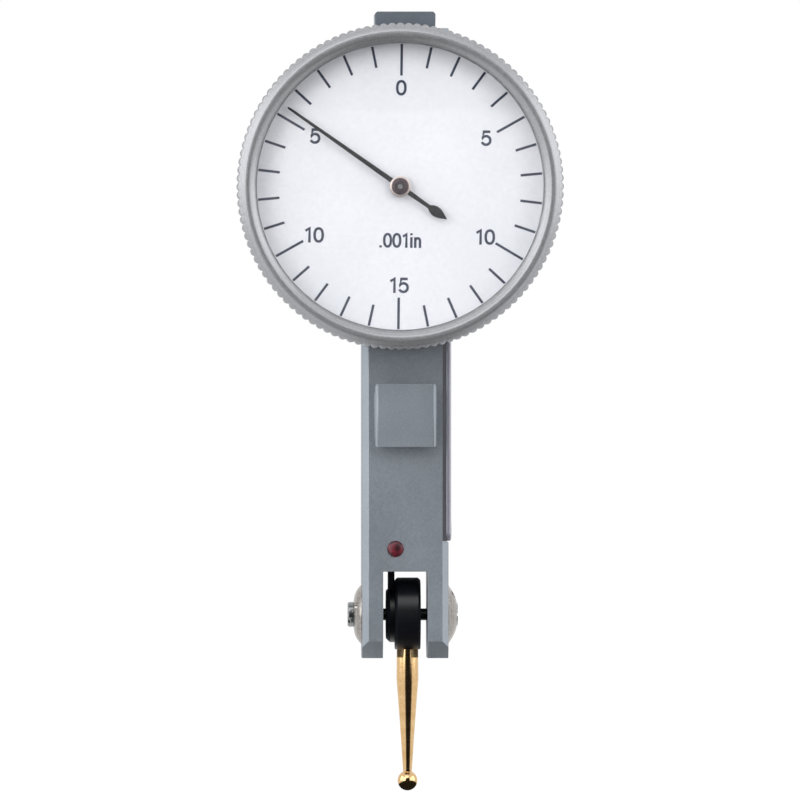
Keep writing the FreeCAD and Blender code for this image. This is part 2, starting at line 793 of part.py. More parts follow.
# ---------------------------------------------------------------- pointer arbor, hand and hairspring
def pointer_arbor():
    """The arbor along Y: ten leaves at the crown wheel, a jewelled pivot behind them."""
    tip = pointer_plane - pointer_thickness / 2.0 - bush_cap - 0.1
    jewel_back = case_floor_front + 0.2
    leaves_front = axis_y - crown_outer - 0.08
    leaves_back = axis_y - crown_inner + 0.06
    shoulder = cock_front - running_clearance
    profile = [(tip, 0.0), (tip, center_shaft_radius), (jewel_back + 0.1, center_shaft_radius),
               (jewel_back + 0.1, arbor_radius), (shoulder, arbor_radius), (shoulder, pivot_radius),
               (cock_front + pivot_length, pivot_radius), (cock_front + pivot_length, 0.0)]
    shaft = turn_y(profile, dial_offset, 0.0)
    outline = []
    for radius, degrees in pinion_outline(center_leaves, crown_module, 180.0 / center_leaves):
        x, z = polar(radius, degrees)
        outline.append((dial_offset + x, z))
    return shaft.fuse(prism_y(outline, leaves_front, leaves_back))


def pointer_hand():
    """A flat tapered hand with an eye at its centre and a leaf-shaped tail."""
    root = pointer_root_width / 2.0
    tip = pointer_tip_width / 2.0
    neck = root * 0.8
    fat = tail_start + (tail_length - tail_start) * 0.42
    length = window_radius - pointer_tip_gap
    blade = [(-neck, -tail_start), (neck, -tail_start), (root, 0.0), (tip, length - tip),
             (0.0, length), (-tip, length - tip), (-root, 0.0)]
    leaf = [(0.0, -tail_length), (tail_width / 4.0, -tail_length + 0.5), (tail_width / 2.0, -fat),
            (tail_width / 4.0, -tail_start - 0.15), (0.0, -tail_start + 0.15),
            (-tail_width / 4.0, -tail_start - 0.15), (-tail_width / 2.0, -fat),
            (-tail_width / 4.0, -tail_length + 0.5)]
    front = pointer_plane - pointer_thickness / 2.0
    back = pointer_plane + pointer_thickness / 2.0
    hand = prism_y(blade, front, back).fuse(prism_y(leaf, front, back))
    hand = hand.fuse(rod_y(pointer_eye_radius, front, back, 0.0, 0.0))
    hand = hand.cut(rod_y(bush_rivet_radius + plug_clearance, front - 0.1, back + 0.1, 0.0, 0.0))
    hand = hand.removeSplitter()
    hand.rotate(Vector(0, 0, 0), Vector(0, 1, 0), -pointer_angle)
    hand.translate(Vector(dial_offset, 0, 0))
    return hand


def pointer_bush():
    """The small turned bush that grips the arbor and is riveted through the hand."""
    front = pointer_plane - pointer_thickness / 2.0
    back = pointer_plane + pointer_thickness / 2.0
    bore = center_shaft_radius + plug_clearance
    crown = front - bush_cap
    foot = back + bush_skirt
    foot_radius = bush_radius * 0.77
    profile = [(crown, bore), (crown, bush_radius * 0.7), (front - bush_cap / 2.0, bush_radius),
               (front, bush_radius), (front, bush_rivet_radius), (back, bush_rivet_radius), (back, foot_radius),
               (foot, foot_radius), (foot, bore)]
    return turn_y(profile, dial_offset, 0.0)


def spring_collet():
    half = hairspring_height * 0.9
    bore = center_shaft_radius + plug_clearance
    profile = [(hairspring_y - half, bore), (hairspring_y - half, hairspring_inner - 0.05),
               (hairspring_y + half, hairspring_inner - 0.05), (hairspring_y + half, bore)]
    return turn_y(profile, dial_offset, 0.0)


def spiral_radius(half_turns):
    return hairspring_inner + half_turns * hairspring_pitch / 2.0


def stud_place():
    """Where the hairspring's outer end is pinned, beside its last turn on the left."""
    side = spiral_edge(2 * hairspring_turns)
    return dial_offset + side - hairspring_strip - wire_pin_radius - plug_clearance, 0.0


def spiral_edge(index):
    """Signed x, from the dial's axis, of the spiral's inner line after a number of half turns."""
    sign = -1.0 if index % 2 == 0 else 1.0
    return sign * spiral_radius(index)


def half_turn(index, offset):
    """The spiral's half turn as an arc, offset outwards by the strip's thickness."""
    start = spiral_edge(index)
    stop = spiral_edge(index + 1)
    start += math.copysign(offset, start)
    stop += math.copysign(offset, stop)
    middle = (start + stop) / 2.0
    reach = abs(stop - start) / 2.0
    rise = reach if index % 2 == 0 else -reach
    plane = hairspring_y - hairspring_height / 2.0
    return Part.Arc(Vector(start, plane, 0), Vector(middle, plane, rise), Vector(stop, plane, 0)).toShape()


def hairspring():
    """A flat spiral strip made of half-turn arcs that grow by half a pitch each."""
    count = 2 * hairspring_turns
    inner = [half_turn(index, 0.0) for index in range(count)]
    outer = [half_turn(index, hairspring_strip) for index in range(count)]
    plane = hairspring_y - hairspring_height / 2.0
    ends = []
    for index in (0, count):
        edge = spiral_edge(index)
        ends.append(Part.makeLine(Vector(edge, plane, 0),
                                  Vector(edge + math.copysign(hairspring_strip, edge), plane, 0)))
    wire = Part.Wire(Part.__sortEdges__(inner + outer + ends))
    strip = Part.Face(wire).extrude(Vector(0, hairspring_height, 0))
    strip.translate(Vector(dial_offset, 0, 0))
    return strip


def spring_stud():
    """The pin that the hairspring's outer end is pinned to."""
    x, z = stud_place()
    pin = rod_y(wire_pin_radius, hairspring_y - 0.35, case_floor_front + 0.45, x, z)
    return pin


# ---------------------------------------------------------------- lever
def arm_outline():
    """Half widths of the arm against height over the pivot, as a closed (y, z) outline."""
    waist = arm_half_width
    top = pivot_drop - leaf_radius - sector_tail * 0.75
    right = [(waist * 1.23, hub_radius * 0.6), (waist, hub_radius * 1.5), (waist, top - rivet_spacing * 2.5),
             (waist * 0.8, top)]
    left = [(-half, rise) for half, rise in reversed(right)]
    return [(axis_y + half, pivot_z + rise) for half, rise in right + left]


def eye_hole_radius(rise):
    """The hole that lets the arm swing round a pin fixed to the housing."""
    return wire_pin_radius + rise * math.tan(math.radians(lever_swing)) + swing_clearance


def lever_arm():
    """The long flat arm with its hub, and eyes that clear the spring post and the banking pin."""
    arm = prism_x(arm_outline(), arm_left, arm_right)
    hub = rod_x(hub_radius, hub_left, arm_right, axis_y, pivot_z)
    left_rim = [e for e in hub.Edges if abs(e.CenterOfMass.x - hub_left) < 1e-6]
    arm = arm.fuse(hub.makeChamfer(hub_chamfer, left_rim))
    for rise in (spring_post_rise, banking_pin_rise):
        arm = arm.fuse(rod_x(eye_hole_radius(rise) + eye_margin, arm_left, arm_right, axis_y, pivot_z + rise))
    for rise in (spring_post_rise, banking_pin_rise):
        arm = arm.cut(rod_x(eye_hole_radius(rise), arm_left - 1.0, arm_right + 1.0, axis_y, pivot_z + rise))
    arm = arm.cut(rod_x(axle_radius + plug_clearance, hub_left - 1.0, arm_right + 1.0, axis_y, pivot_z))
    pin = rod_x(wire_pin_radius, arm_left - 1.0, arm_right + 1.0, axis_y, pivot_z + lever_pin_rise)
    arm = arm.cut(pin)
    for z in rivet_places():
        arm = arm.cut(rod_x(rivet_radius, arm_left - 1.0, arm_right + 1.0, axis_y, z))
    return arm.removeSplitter()


def rivet_places():
    top = -leaf_radius - sector_tail
    return [top, top - rivet_spacing]


def sector_gear():
    """A few teeth of a very large gear on a small fan-shaped plate."""
    step = 360.0 / sector_full_teeth
    half = (sector_teeth - 1) / 2.0
    outline = []
    for index in range(sector_teeth):
        for radius, degrees in tooth_points(sector_full_teeth, sector_module, 90.0 + (index - half) * step):
            y, z = polar(radius, degrees)
            outline.append((axis_y + y, pivot_z + z))
    foot = arm_half_width
    foot_z = rivet_places()[1] - foot
    flare_z = rivet_places()[0] - rivet_radius * 2.5
    outline += [(axis_y - foot, flare_z), (axis_y - foot, foot_z), (axis_y + foot, foot_z),
                (axis_y + foot, flare_z)]
    plate = prism_x(outline, sector_left, sector_right)
    for z in rivet_places():
        plate = plate.cut(rod_x(rivet_radius, sector_left - 1.0, sector_right + 1.0, axis_y, z))
    return plate


def sector_rivets():
    """Two rivets, each with a flat head on the arm's side and flush on the sector's."""
    head = arm_right + rivet_head_height
    profile = [(sector_left, 0.0), (sector_left, rivet_radius), (arm_right, rivet_radius),
               (arm_right, rivet_head_radius), (head, rivet_head_radius), (head, 0.0)]
    return group([turn_x(profile, axis_y, z) for z in rivet_places()])


def lever_axle():
    """The lever's axle: two thin journals in the bearing screws and a thick one for the holder."""
    end = slot_half + axle_bury
    nut_seat = clutch_nut_left()
    profile = [(-end, 0.0), (-end, axle_radius), (arm_right, axle_radius), (arm_right, journal_radius),
               (nut_seat, journal_radius), (nut_seat, axle_radius), (end, axle_radius),
               (end, 0.0)]
    return turn_x(profile, axis_y, pivot_z)


def lever_pin():
    end = spring_right() + pin_overrun
    return rod_x(wire_pin_radius, arm_left, end, axis_y, pivot_z + lever_pin_rise)


def clutch_nut_left():
    return holder_right - clutch_nut_thickness - 0.05


def clutch_spring():
    """A dished spring washer that presses the holder against the lever."""
    left = holder_right - clutch_recess_depth + seat_clearance
    right = clutch_nut_left() - seat_clearance
    inner = journal_radius + 0.05
    outer = clutch_nut_radius
    skin = 0.12
    profile = [(left, outer - 0.1), (left, outer), (left + skin, outer), (right, inner + 0.1), (right, inner),
               (right - skin, inner)]
    return turn_x(profile, axis_y, pivot_z)


def clutch_nut():
    """The round nut that loads the spring washer, with two spanner slots."""
    left = clutch_nut_left()
    right = left + clutch_nut_thickness
    bore = axle_radius + plug_clearance
    nut = turn_x([(left, bore), (left, clutch_nut_radius), (right, clutch_nut_radius), (right, bore)],
                 axis_y, pivot_z)
    slot = box(right - 0.25, right + 1.0, axis_y - 0.2, axis_y + 0.2, pivot_z - 3.0, pivot_z + 3.0)
    return nut.cut(slot)


def spring_left():
    return arm_right + wire_gap


def spring_right():
    return spring_left() + wire_width


def spring_post():
    """The headed post that the centring spring bends round."""
    head = spring_right() + running_clearance
    z = pivot_z + spring_post_rise
    shank = rod_x(wire_pin_radius, body_left + blind_skin + hole_spare, head, axis_y, z)
    return shank.fuse(rod_x(wire_pin_radius * 1.8, head, head + pin_overrun, axis_y, z))


def banking_pin():
    end = spring_right() + pin_overrun
    return rod_x(wire_pin_radius, body_left + blind_skin + hole_spare, end, axis_y, pivot_z + banking_pin_rise)


def hairpin(radius, foot, top):
    """A face in the plane of the spring's left side: a half disc below two straight sides."""
    x = spring_left()
    right_top = Vector(x, axis_y + radius, top)
    right_foot = Vector(x, axis_y + radius, foot)
    left_foot = Vector(x, axis_y - radius, foot)
    left_top = Vector(x, axis_y - radius, top)
    bend = Vector(x, axis_y, foot - radius)
    edges = [Part.makeLine(right_top, right_foot), Part.Arc(right_foot, bend, left_foot).toShape(),
             Part.makeLine(left_foot, left_top), Part.makeLine(left_top, right_top)]
    return Part.Face(Part.Wire(edges))


def centring_spring():
    """A hairpin of flat wire round the post; its legs hold the banking pin and the lever's pin."""
    inner = wire_pin_radius + plug_clearance
    foot = pivot_z + spring_post_rise
    top = pivot_z + lever_pin_rise + wire_pin_radius + wire_leg_overrun
    strip = hairpin(inner + wire_width, foot, top).cut(hairpin(inner, foot, top + 1.0))
    return strip.extrude(Vector(wire_width, 0, 0))


# ---------------------------------------------------------------- contact
def contact_holder():
    """The drum that swivels on the lever's journal and takes the stem's thread."""
    drum = rod_x(holder_radius, holder_left, holder_right, axis_y, pivot_z)
    drum = drum.makeChamfer(holder_chamfer, drum.Edges)
    flat = pivot_z - holder_radius
    drum = drum.cut(box(holder_left - 1.0, holder_right + 1.0, axis_y - 3.0, axis_y + 3.0,
                        flat - 1.0, stem_seat()))
    drum = drum.cut(rod_x(journal_radius + running_clearance, holder_left - 1.0, holder_right + 1.0,
                          axis_y, pivot_z))
    drum = drum.cut(rod_x(clutch_recess_radius, holder_right - clutch_recess_depth, holder_right + 1.0,
                          axis_y, pivot_z))
    return drum.cut(rod_z(stem_thread_radius + thread_clearance, stem_seat() - 1.0,
                          stem_seat() + stem_thread_length + 0.05, holder_middle, axis_y))


def stem_seat():
    return pivot_z - holder_radius + 0.2


def ball_centre():
    return Vector(holder_middle, axis_y, pivot_z - contact_length)


def contact_stem():
    """Thread, collar and a concave taper down to the ball."""
    x = holder_middle
    centre = ball_centre()
    ball_radius = ball_diameter / 2.0
    seat = centre.z + math.sqrt(ball_radius ** 2 - stem_neck_radius ** 2)
    thread_top = stem_seat() + stem_thread_length
    collar_end = pivot_z - stem_collar_end
    neck_end = max(pivot_z - stem_neck_end, seat + 0.05)

    def at(radius, z):
        return Vector(x + radius, axis_y, z)

    bend_share = 0.42
    bend = at(stem_radius + (stem_neck_radius - stem_radius) * 0.62,
              collar_end + (neck_end - collar_end) * bend_share)
    edges = [Part.makeLine(at(0, thread_top), at(stem_thread_radius, thread_top)),
             Part.makeLine(at(stem_thread_radius, thread_top), at(stem_thread_radius, stem_seat())),
             Part.makeLine(at(stem_thread_radius, stem_seat()), at(stem_radius, stem_seat())),
             Part.makeLine(at(stem_radius, stem_seat()), at(stem_radius, collar_end)),
             Part.Arc(at(stem_radius, collar_end), bend, at(stem_neck_radius, neck_end)).toShape(),
             Part.makeLine(at(stem_neck_radius, neck_end), at(stem_neck_radius, seat)),
             Part.makeLine(at(stem_neck_radius, seat), at(0, seat)),
             Part.makeLine(at(0, seat), at(0, thread_top))]
    stem = Part.Face(Part.Wire(edges)).revolve(Vector(x, axis_y, 0), Vector(0, 0, 1), 360)
    return stem.cut(Part.makeSphere(ball_radius, centre))


def contact_ball():
    return Part.makeSphere(ball_diameter / 2.0, ball_centre())


# ---------------------------------------------------------------- bearings on the ears
def bearing_screw(outer):
    """A threaded bearing with a blind bore for the axle; outer is its length past the slot face."""
    inner = slot_half + 0.1
    bore_end = slot_half + axle_bury + 0.1
    bore = axle_radius + running_clearance
    return [(inner, bore), (inner, bearing_screw_radius), (outer, bearing_screw_radius), (outer, 0.0),
            (bore_end, 0.0), (bore_end, bore)]


def mirrored(profile):
    return [(-x, r) for x, r in profile]


def bearing_screw_left():
    neck = body_right + left_nut_height
    head_end = neck + bearing_head_height
    profile = bearing_screw(neck)
    screw = turn_x(mirrored(profile), axis_y, pivot_z)
    head = rod_x(bearing_head_radius, -head_end, -neck, axis_y, pivot_z)
    rim = [e for e in head.Edges if abs(e.CenterOfMass.x + head_end) < 1e-6]
    head = head.makeChamfer(0.12, rim)
    slot = box(-head_end - 1.0, -head_end + 0.3, axis_y - 2.0, axis_y + 2.0, -0.17, 0.17)
    slot.rotate(Vector(0, axis_y, 0), Vector(1, 0, 0), 35.0)
    slot.translate(Vector(0, 0, pivot_z))
    return screw.fuse(head).cut(slot)


def bearing_screw_right():
    outer = body_right + right_nut_height - 0.25
    screw = turn_x(bearing_screw(outer), axis_y, pivot_z)
    slot = box(outer - 0.35, outer + 1.0, axis_y - 2.0, axis_y + 2.0, pivot_z - 0.15, pivot_z + 0.15)
    return screw.cut(slot)


def lock_nut(height):
    """A domed ring nut, turned in three cones, that sits on the plane x = 0 and rises along +X."""
    bore = bearing_screw_radius + thread_clearance
    fall = nut_radius - nut_nose_radius
    profile = [(0.0, bore), (0.0, nut_radius), (height * 0.12, nut_radius),
               (height * 0.5, nut_radius - fall * 0.25),
               (height * 0.82, nut_radius - fall * 0.62), (height, nut_nose_radius), (height, bore)]
    nut = turn_x(profile, 0.0, 0.0)
    for side in (0.0, 180.0):
        y, z = polar(spanner_circle_radius, side)
        nut = nut.cut(rod_x(spanner_hole_radius, height * 0.35, height + 1.0, y, z))
    return nut


def lock_nut_left():
    return placed(lock_nut(left_nut_height), Vector(body_left, axis_y, pivot_z), Vector(-1, 0, 0), -35.0)


def lock_nut_right():
    return placed(lock_nut(right_nut_height), Vector(body_right, axis_y, pivot_z), Vector(1, 0, 0), -70.0)


# ---------------------------------------------------------------- export
PIECES = [housing, side_cover, cover_screws, dial_case, case_screws, friction_ring, bezel, crystal, dial_face,
          pivot_jewels, center_jewel, pinion_cock, cock_screw, train_bridge, bridge_screws, crown_arbor,
          crown_wheel, pointer_arbor, pointer_hand, pointer_bush, spring_collet, hairspring, spring_stud,
          lever_arm, sector_gear, sector_rivets, lever_axle, lever_pin, clutch_spring, clutch_nut, spring_post,
          banking_pin, centring_spring, contact_holder, contact_stem, contact_ball, bearing_screw_left,
          bearing_screw_right, lock_nut_left, lock_nut_right, stop_screw, sealing_lacquer]

for piece in PIECES:
    shape = piece()
    shape.exportStep(os.path.join("parts", piece.__name__ + ".step"))
    print(piece.__name__, len(shape.Solids), round(shape.Volume, 3), shape.isValid())
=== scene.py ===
# %% [markdown]
# # A lever-type dial test indicator
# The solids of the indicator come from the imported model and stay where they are. This lesson adds what a
# machinist sees and feels: the knurled bezel, the printed dial, the domed lens, softened edges and the
# finishes. Everything is in metres, X across the narrow body, the dial looking towards -Y and +Z up.

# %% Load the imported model
import math
import bmesh
import bpy
import numpy as np
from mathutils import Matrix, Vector


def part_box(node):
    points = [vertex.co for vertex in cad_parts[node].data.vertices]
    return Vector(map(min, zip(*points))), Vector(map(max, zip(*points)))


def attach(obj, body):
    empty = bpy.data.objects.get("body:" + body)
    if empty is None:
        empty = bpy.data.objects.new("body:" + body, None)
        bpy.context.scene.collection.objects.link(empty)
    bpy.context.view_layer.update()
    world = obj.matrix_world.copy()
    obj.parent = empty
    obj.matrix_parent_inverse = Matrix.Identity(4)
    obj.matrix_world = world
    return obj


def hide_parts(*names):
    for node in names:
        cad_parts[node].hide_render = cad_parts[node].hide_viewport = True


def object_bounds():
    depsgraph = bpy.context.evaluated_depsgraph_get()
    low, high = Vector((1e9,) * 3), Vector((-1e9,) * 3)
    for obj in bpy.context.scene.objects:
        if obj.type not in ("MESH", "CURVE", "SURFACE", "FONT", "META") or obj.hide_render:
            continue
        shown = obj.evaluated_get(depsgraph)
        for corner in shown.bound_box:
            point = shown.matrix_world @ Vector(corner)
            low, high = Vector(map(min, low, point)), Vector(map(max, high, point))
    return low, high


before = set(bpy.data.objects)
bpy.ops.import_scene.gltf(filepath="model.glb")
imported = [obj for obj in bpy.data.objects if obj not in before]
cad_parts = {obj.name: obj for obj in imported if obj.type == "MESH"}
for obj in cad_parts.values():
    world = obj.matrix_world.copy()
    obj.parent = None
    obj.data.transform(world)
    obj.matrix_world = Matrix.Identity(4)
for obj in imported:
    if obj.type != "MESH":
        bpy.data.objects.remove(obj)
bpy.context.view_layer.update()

# %% [markdown]
# All shapes are worked out in millimetres, as a drawing would give them, and turned into metres once, when
# a mesh is made. The places come from the boxes of the CAD pieces, so a new piece always lands on the old
# one.

# %% Millimetres and the places that everything hangs on
MM = 0.001


def span(node):
    """Lowest and highest corner of a CAD piece, in millimetres."""
    low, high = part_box(node)
    return np.array(low) / MM, np.array(high) / MM


bezel_low, bezel_high = span("bezel")
dial_x = (bezel_low[0] + bezel_high[0]) / 2
bezel_radius = (bezel_high[0] - bezel_low[0]) / 2
bezel_front, bezel_back = bezel_low[1], bezel_high[1]
dial_front = span("dial_face")[0][1]
ball_low, ball_high = span("contact_ball")
ball_radius = (ball_high[2] - ball_low[2]) / 2
ball_centre = (ball_low + ball_high) / 2
pivot_y = ball_centre[1]
pivot_z = (span("bearing_screw_left")[0][2] + span("bearing_screw_left")[1][2]) / 2
print("dial axis x", round(dial_x, 3), "bezel radius", round(bezel_radius, 3), "pivot z", round(pivot_z, 3))

# %% [markdown]
# A colour picked on a screen is an sRGB value, but shaders work with linear light. One function does the
# change for every colour in the file: values near black are divided, the rest follow a power of 2.4.

# %% Colours and nodes
def linear(code):
    """sRGB hex such as 7A828A to linear red, green, blue and alpha.

    Near black it is v / 12.92, and above that ((v + 0.055) / 1.055)^2.4.
    """
    v = np.array([int(code[i:i + 2], 16) for i in (0, 2, 4)]) / 255
    return (*np.where(v <= 0.04045, v / 12.92, ((v + 0.055) / 1.055) ** 2.4), 1.0)


def add(tree, kind, inputs=None, out=0, **settings):
    """Add a shader node with its settings and return one of its outputs.

    An input that is given a socket is linked, and any other input takes the value.
    """
    made = tree.nodes.new("ShaderNode" + kind)
    for name, value in settings.items():
        setattr(made, name, value)
    for key, value in (inputs or {}).items():
        if isinstance(value, bpy.types.NodeSocket):
            tree.links.new(value, made.inputs[key])
        else:
            made.inputs[key].default_value = value
    return made.outputs[out] if made.outputs else None


def blank(name):
    """A material with an empty node tree, and that tree."""
    material = bpy.data.materials.new(name)
    material.use_nodes = True
    material.node_tree.nodes.clear()
    return material, material.node_tree


print("black, grey, white:", [round(linear(c)[0], 3) for c in ("000000", "808080", "FFFFFF")])

# %% [markdown]
# Most of the indicator is metal with an even, fine texture. The texture of a blasted or plated surface is a
# grain: at one size it moves the colour a little, and the same grain moves the roughness and the height.
# One function makes such a finish from its real grain size, and the finishes differ only in their numbers.

# %% Grained finishes
def textured(tree, pattern, relief, size_mm, dark, light, metallic, rough, spread, bump, coat=0.0):
    """Colour and roughness follow the pattern, a sum of two noises, and the height follows the relief."""
    share = add(tree, "MapRange", {"Value": pattern, "From Min": 0.75, "From Max": 1.25})
    # Sockets 0, 6 and 7 of a Mix node are its factor and its two colours.
    colour = add(tree, "Mix", {0: share, 6: linear(dark), 7: linear(light)}, out=2, data_type="RGBA")
    roughness = add(tree, "MapRange", {"Value": pattern, "From Min": 0.6, "From Max": 1.4,
                                       "To Min": rough - spread, "To Max": rough + spread})
    height = add(tree, "Bump", {"Strength": bump, "Distance": 0.1 * size_mm * MM, "Height": relief})
    surface = add(tree, "BsdfPrincipled", {"Base Color": colour, "Metallic": metallic, "Roughness": roughness,
                                           "Normal": height, "Coat Weight": coat, "Coat Roughness": 0.15})
    add(tree, "OutputMaterial", {"Surface": surface})


def grained(name, dark, light, grain_mm, metallic, rough, spread=0.05, bump=0.1, coat=0.0):
    """The pattern is a noise at the grain's size and one thirty times larger for handling marks."""
    material, tree = blank(name)
    place = add(tree, "TexCoord", out=3)
    fine = add(tree, "TexNoise", {"Vector": place, "Scale": 1 / (grain_mm * MM), "Detail": 2.0})
    broad = add(tree, "TexNoise", {"Vector": place, "Scale": 1 / (30 * grain_mm * MM), "Detail": 3.0})
    pattern = add(tree, "Math", {0: fine, 1: broad}, operation="ADD")
    textured(tree, pattern, fine, grain_mm, dark, light, metallic, rough, spread, bump, coat)
    return material


# Satin chrome over a die-cast body: blasted before plating, so it is grey and even with hardly a highlight.
satin_chrome = grained("satin_chrome_plate", "8A9199", "969DA5", 0.2, 0.55, 0.46)
# The cover is a separate sheet part and comes out of the plating bath a little lighter.
cover_chrome = grained("satin_chrome_sheet", "9A9AA6", "A8A8B2", 0.2, 0.6, 0.42)
# Screws: bright nickel on steel.
screw_steel = grained("bright_nickel_steel", "8A8D8E", "A3A5A5", 0.08, 1.0, 0.3)
# Ground arbors, pins and washers.
ground_steel = grained("ground_steel", "8C8D90", "A9AAAC", 0.06, 1.0, 0.28)
# Springs are blue-grey tempered steel.
spring_steel = grained("tempered_spring_steel", "6B7280", "8B919C", 0.06, 1.0, 0.3)
# The hairspring is a bronze alloy.
hairspring_bronze = grained("hairspring_bronze", "A8834A", "C9A467", 0.06, 1.0, 0.3)
# Movement plates are brushed brass.
movement_brass = grained("movement_brass", "B08D4C", "CBA862", 0.1, 1.0, 0.34)
# Black oxide on the holder and the lever: blue-black, a trace of oil gives it a soft sheen.
black_oxide = grained("black_oxide_steel", "07080E", "0F101A", 0.15, 0.0, 0.36, 0.06, 0.2)
# Painted shade: a dark rubber-like finish for the strip in the groove beside the cover, standing for that
# groove's shadow.
gap_shadow_dark = grained("painted_gap_shadow", "33343A", "424349", 0.1, 0.0, 0.7)
# Blued and lacquered hand.
blued_hand = grained("blue_black_lacquer_hand", "04060C", "0A0D16", 0.08, 0.0, 0.55)
# Screen-printed ink, a dark slate blue.
dial_ink = grained("slate_blue_ink", "30374A", "3F475C", 0.06, 0.0, 0.6, 0.05, 0.05)
# Synthetic ruby.
ruby = grained("synthetic_ruby", "8E0A22", "B3122F", 0.1, 0.0, 0.12, 0.04, 0.02, 0.5)
# White enamel on the dial plate: a cool white with a faint orange peel.
dial_enamel = grained("white_enamel", "ECEEF4", "F4F5FA", 0.35, 0.0, 0.42, 0.05, 0.03)
print("grained finishes:", len(bpy.data.materials))

# %% [markdown]
# Pieces from a lathe show rings round their axis. The rings are a noise that reads only the distance from
# the axis, so it is the same all the way round.

# %% Turned finishes
def distance_from(tree, place, centre_mm, axis):
    """Length of place minus centre, with the share along the axis X, Y or Z set to zero."""
    centre = tuple(c * MM for c in centre_mm)
    off_centre = add(tree, "VectorMath", {0: place, 1: centre}, operation="SUBTRACT")
    across = tuple(0.0 if letter == axis else 1.0 for letter in "XYZ")
    flat = add(tree, "VectorMath", {0: off_centre, 1: across}, operation="MULTIPLY")
    return add(tree, "VectorMath", {0: flat}, out=1, operation="LENGTH")


def turned(name, dark, light, axis, centre_mm, ring_mm, metallic, rough, spread=0.06, bump=0.12):
    """The pattern is a noise of the distance from the axis, in rings of a real width, and an even grain."""
    material, tree = blank(name)
    place = add(tree, "TexCoord", out=3)
    radius = distance_from(tree, place, centre_mm, axis)
    rings = add(tree, "TexNoise", {"W": radius, "Scale": 1 / (ring_mm * MM), "Detail": 2.0},
                noise_dimensions="1D")
    grain = add(tree, "TexNoise", {"Vector": place, "Scale": 1 / (2 * ring_mm * MM), "Detail": 2.0})
    pattern = add(tree, "Math", {0: rings, 1: grain}, operation="ADD")
    textured(tree, pattern, rings, ring_mm, dark, light, metallic, rough, spread, bump)
    return material


dial_axis = (dial_x, 0.0, 0.0)
pivot_axis = (0.0, pivot_y, pivot_z)
stem_axis = (ball_centre[0], ball_centre[1], 0.0)
# The bezel is turned aluminium, satin chromed: light grey, with rings too fine to count.
bezel_chrome = turned("satin_turned_bezel", "9A9B9F", "ABACAF", "Y", dial_axis, 0.12, 0.7, 0.4)
case_metal = turned("turned_case", "8E8F92", "A2A3A5", "Y", dial_axis, 0.15, 0.8, 0.38)
# The lock nuts are nickel plated: a warm grey next to the cold chrome.
nickel = turned("nickel_plate", "8B8681", "AFAAA5", "X", pivot_axis, 0.15, 1.0, 0.24)
# Titanium nitride or gold over polished steel: pale gold, nearly a mirror.
gold = turned("gold_plate", "D2AC78", "E2C090", "Z", stem_axis, 0.1, 1.0, 0.13, 0.04, 0.04)
print("finishes in all:", len(bpy.data.materials))

# %% [markdown]
# The lens is clear acrylic. Glass that only bends light would keep the lamps from the dial, so for shadow
# rays the same surface is see-through: the camera sees a lens, and the dial still gets its light.

# %% Clear acrylic
clear_acrylic, tree = blank("clear_acrylic")
place = add(tree, "TexCoord", out=3)
haze = add(tree, "TexNoise", {"Vector": place, "Scale": 1 / (3 * MM), "Detail": 2.0})
haze = add(tree, "MapRange", {"Value": haze, "To Min": 0.0, "To Max": 0.03})
lens = add(tree, "BsdfPrincipled", {"Base Color": (1, 1, 1, 1), "Roughness": haze, "IOR": 1.49,
                                    "Transmission Weight": 1.0})
lamp_ray = add(tree, "LightPath", out=1)
surface = add(tree, "MixShader", {0: lamp_ray, 1: lens, 2: add(tree, "BsdfTransparent")})
add(tree, "OutputMaterial", {"Surface": surface})
print("lens material:", clear_acrylic.name)

# %% [markdown]
# The stop screw is sealed with a drop of red lacquer. It is a dark crimson in cloudy patches, with a wet
# shine from its clear coat.

# %% Sealing lacquer
red_lacquer, tree = blank("sealing_lacquer_red")
place = add(tree, "TexCoord", out=3)
clouds = add(tree, "TexNoise", {"Vector": place, "Scale": 1 / (0.6 * MM), "Detail": 3.0})
share = add(tree, "MapRange", {"Value": clouds, "From Min": 0.35, "From Max": 0.65})
colour = add(tree, "Mix", {0: share, 6: linear("300310"), 7: linear("6E0E26")}, out=2, data_type="RGBA")
surface = add(tree, "BsdfPrincipled", {"Base Color": colour, "Roughness": 0.4, "Coat Weight": 0.1,
                                       "Coat Roughness": 0.2})
add(tree, "OutputMaterial", {"Surface": surface})
print("lacquer material:", red_lacquer.name)

# %% [markdown]
# Nearly every new shape here is a surface over a grid of points: rows go one way round, columns the other.
# The faces are then only arithmetic on the grid's numbering, and no loop over the points is needed.

# %% From grids to meshes
def quads(rows, columns, wrap_rows, wrap_columns):
    """Corner numbers of the quads of a grid; a wrapped side joins its last line to its first."""
    number = np.arange(rows * columns).reshape(rows, columns)
    if wrap_rows:
        number = np.vstack([number, number[:1]])
    if wrap_columns:
        number = np.hstack([number, number[:, :1]])
    return np.stack([number[:-1, :-1], number[1:, :-1], number[1:, 1:], number[:-1, 1:]], -1).reshape(-1, 4)


def settle(mesh, merge_mm=0.002, smooth_degrees=35.0):
    """Merge points that coincide, point all faces outwards, and shade smooth except across sharp edges."""
    shape = bmesh.new()
    shape.from_mesh(mesh)
    bmesh.ops.remove_doubles(shape, verts=shape.verts, dist=merge_mm * MM)
    bmesh.ops.recalc_face_normals(shape, faces=shape.faces)
    shape.to_mesh(mesh)
    shape.free()
    mesh.polygons.foreach_set("use_smooth", np.ones(len(mesh.polygons), bool))
    mesh.set_sharp_from_angle(angle=math.radians(smooth_degrees))


def place_piece(piece, body, material, stands_for=()):
    """Give a piece its finish, its body and the CAD pieces that it stands for."""
    piece.data.materials.clear()
    piece.data.materials.append(material)
    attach(piece, body)
    if stands_for:
        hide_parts(*stands_for)
    print(piece.name, "on", body, len(piece.data.polygons), "faces")


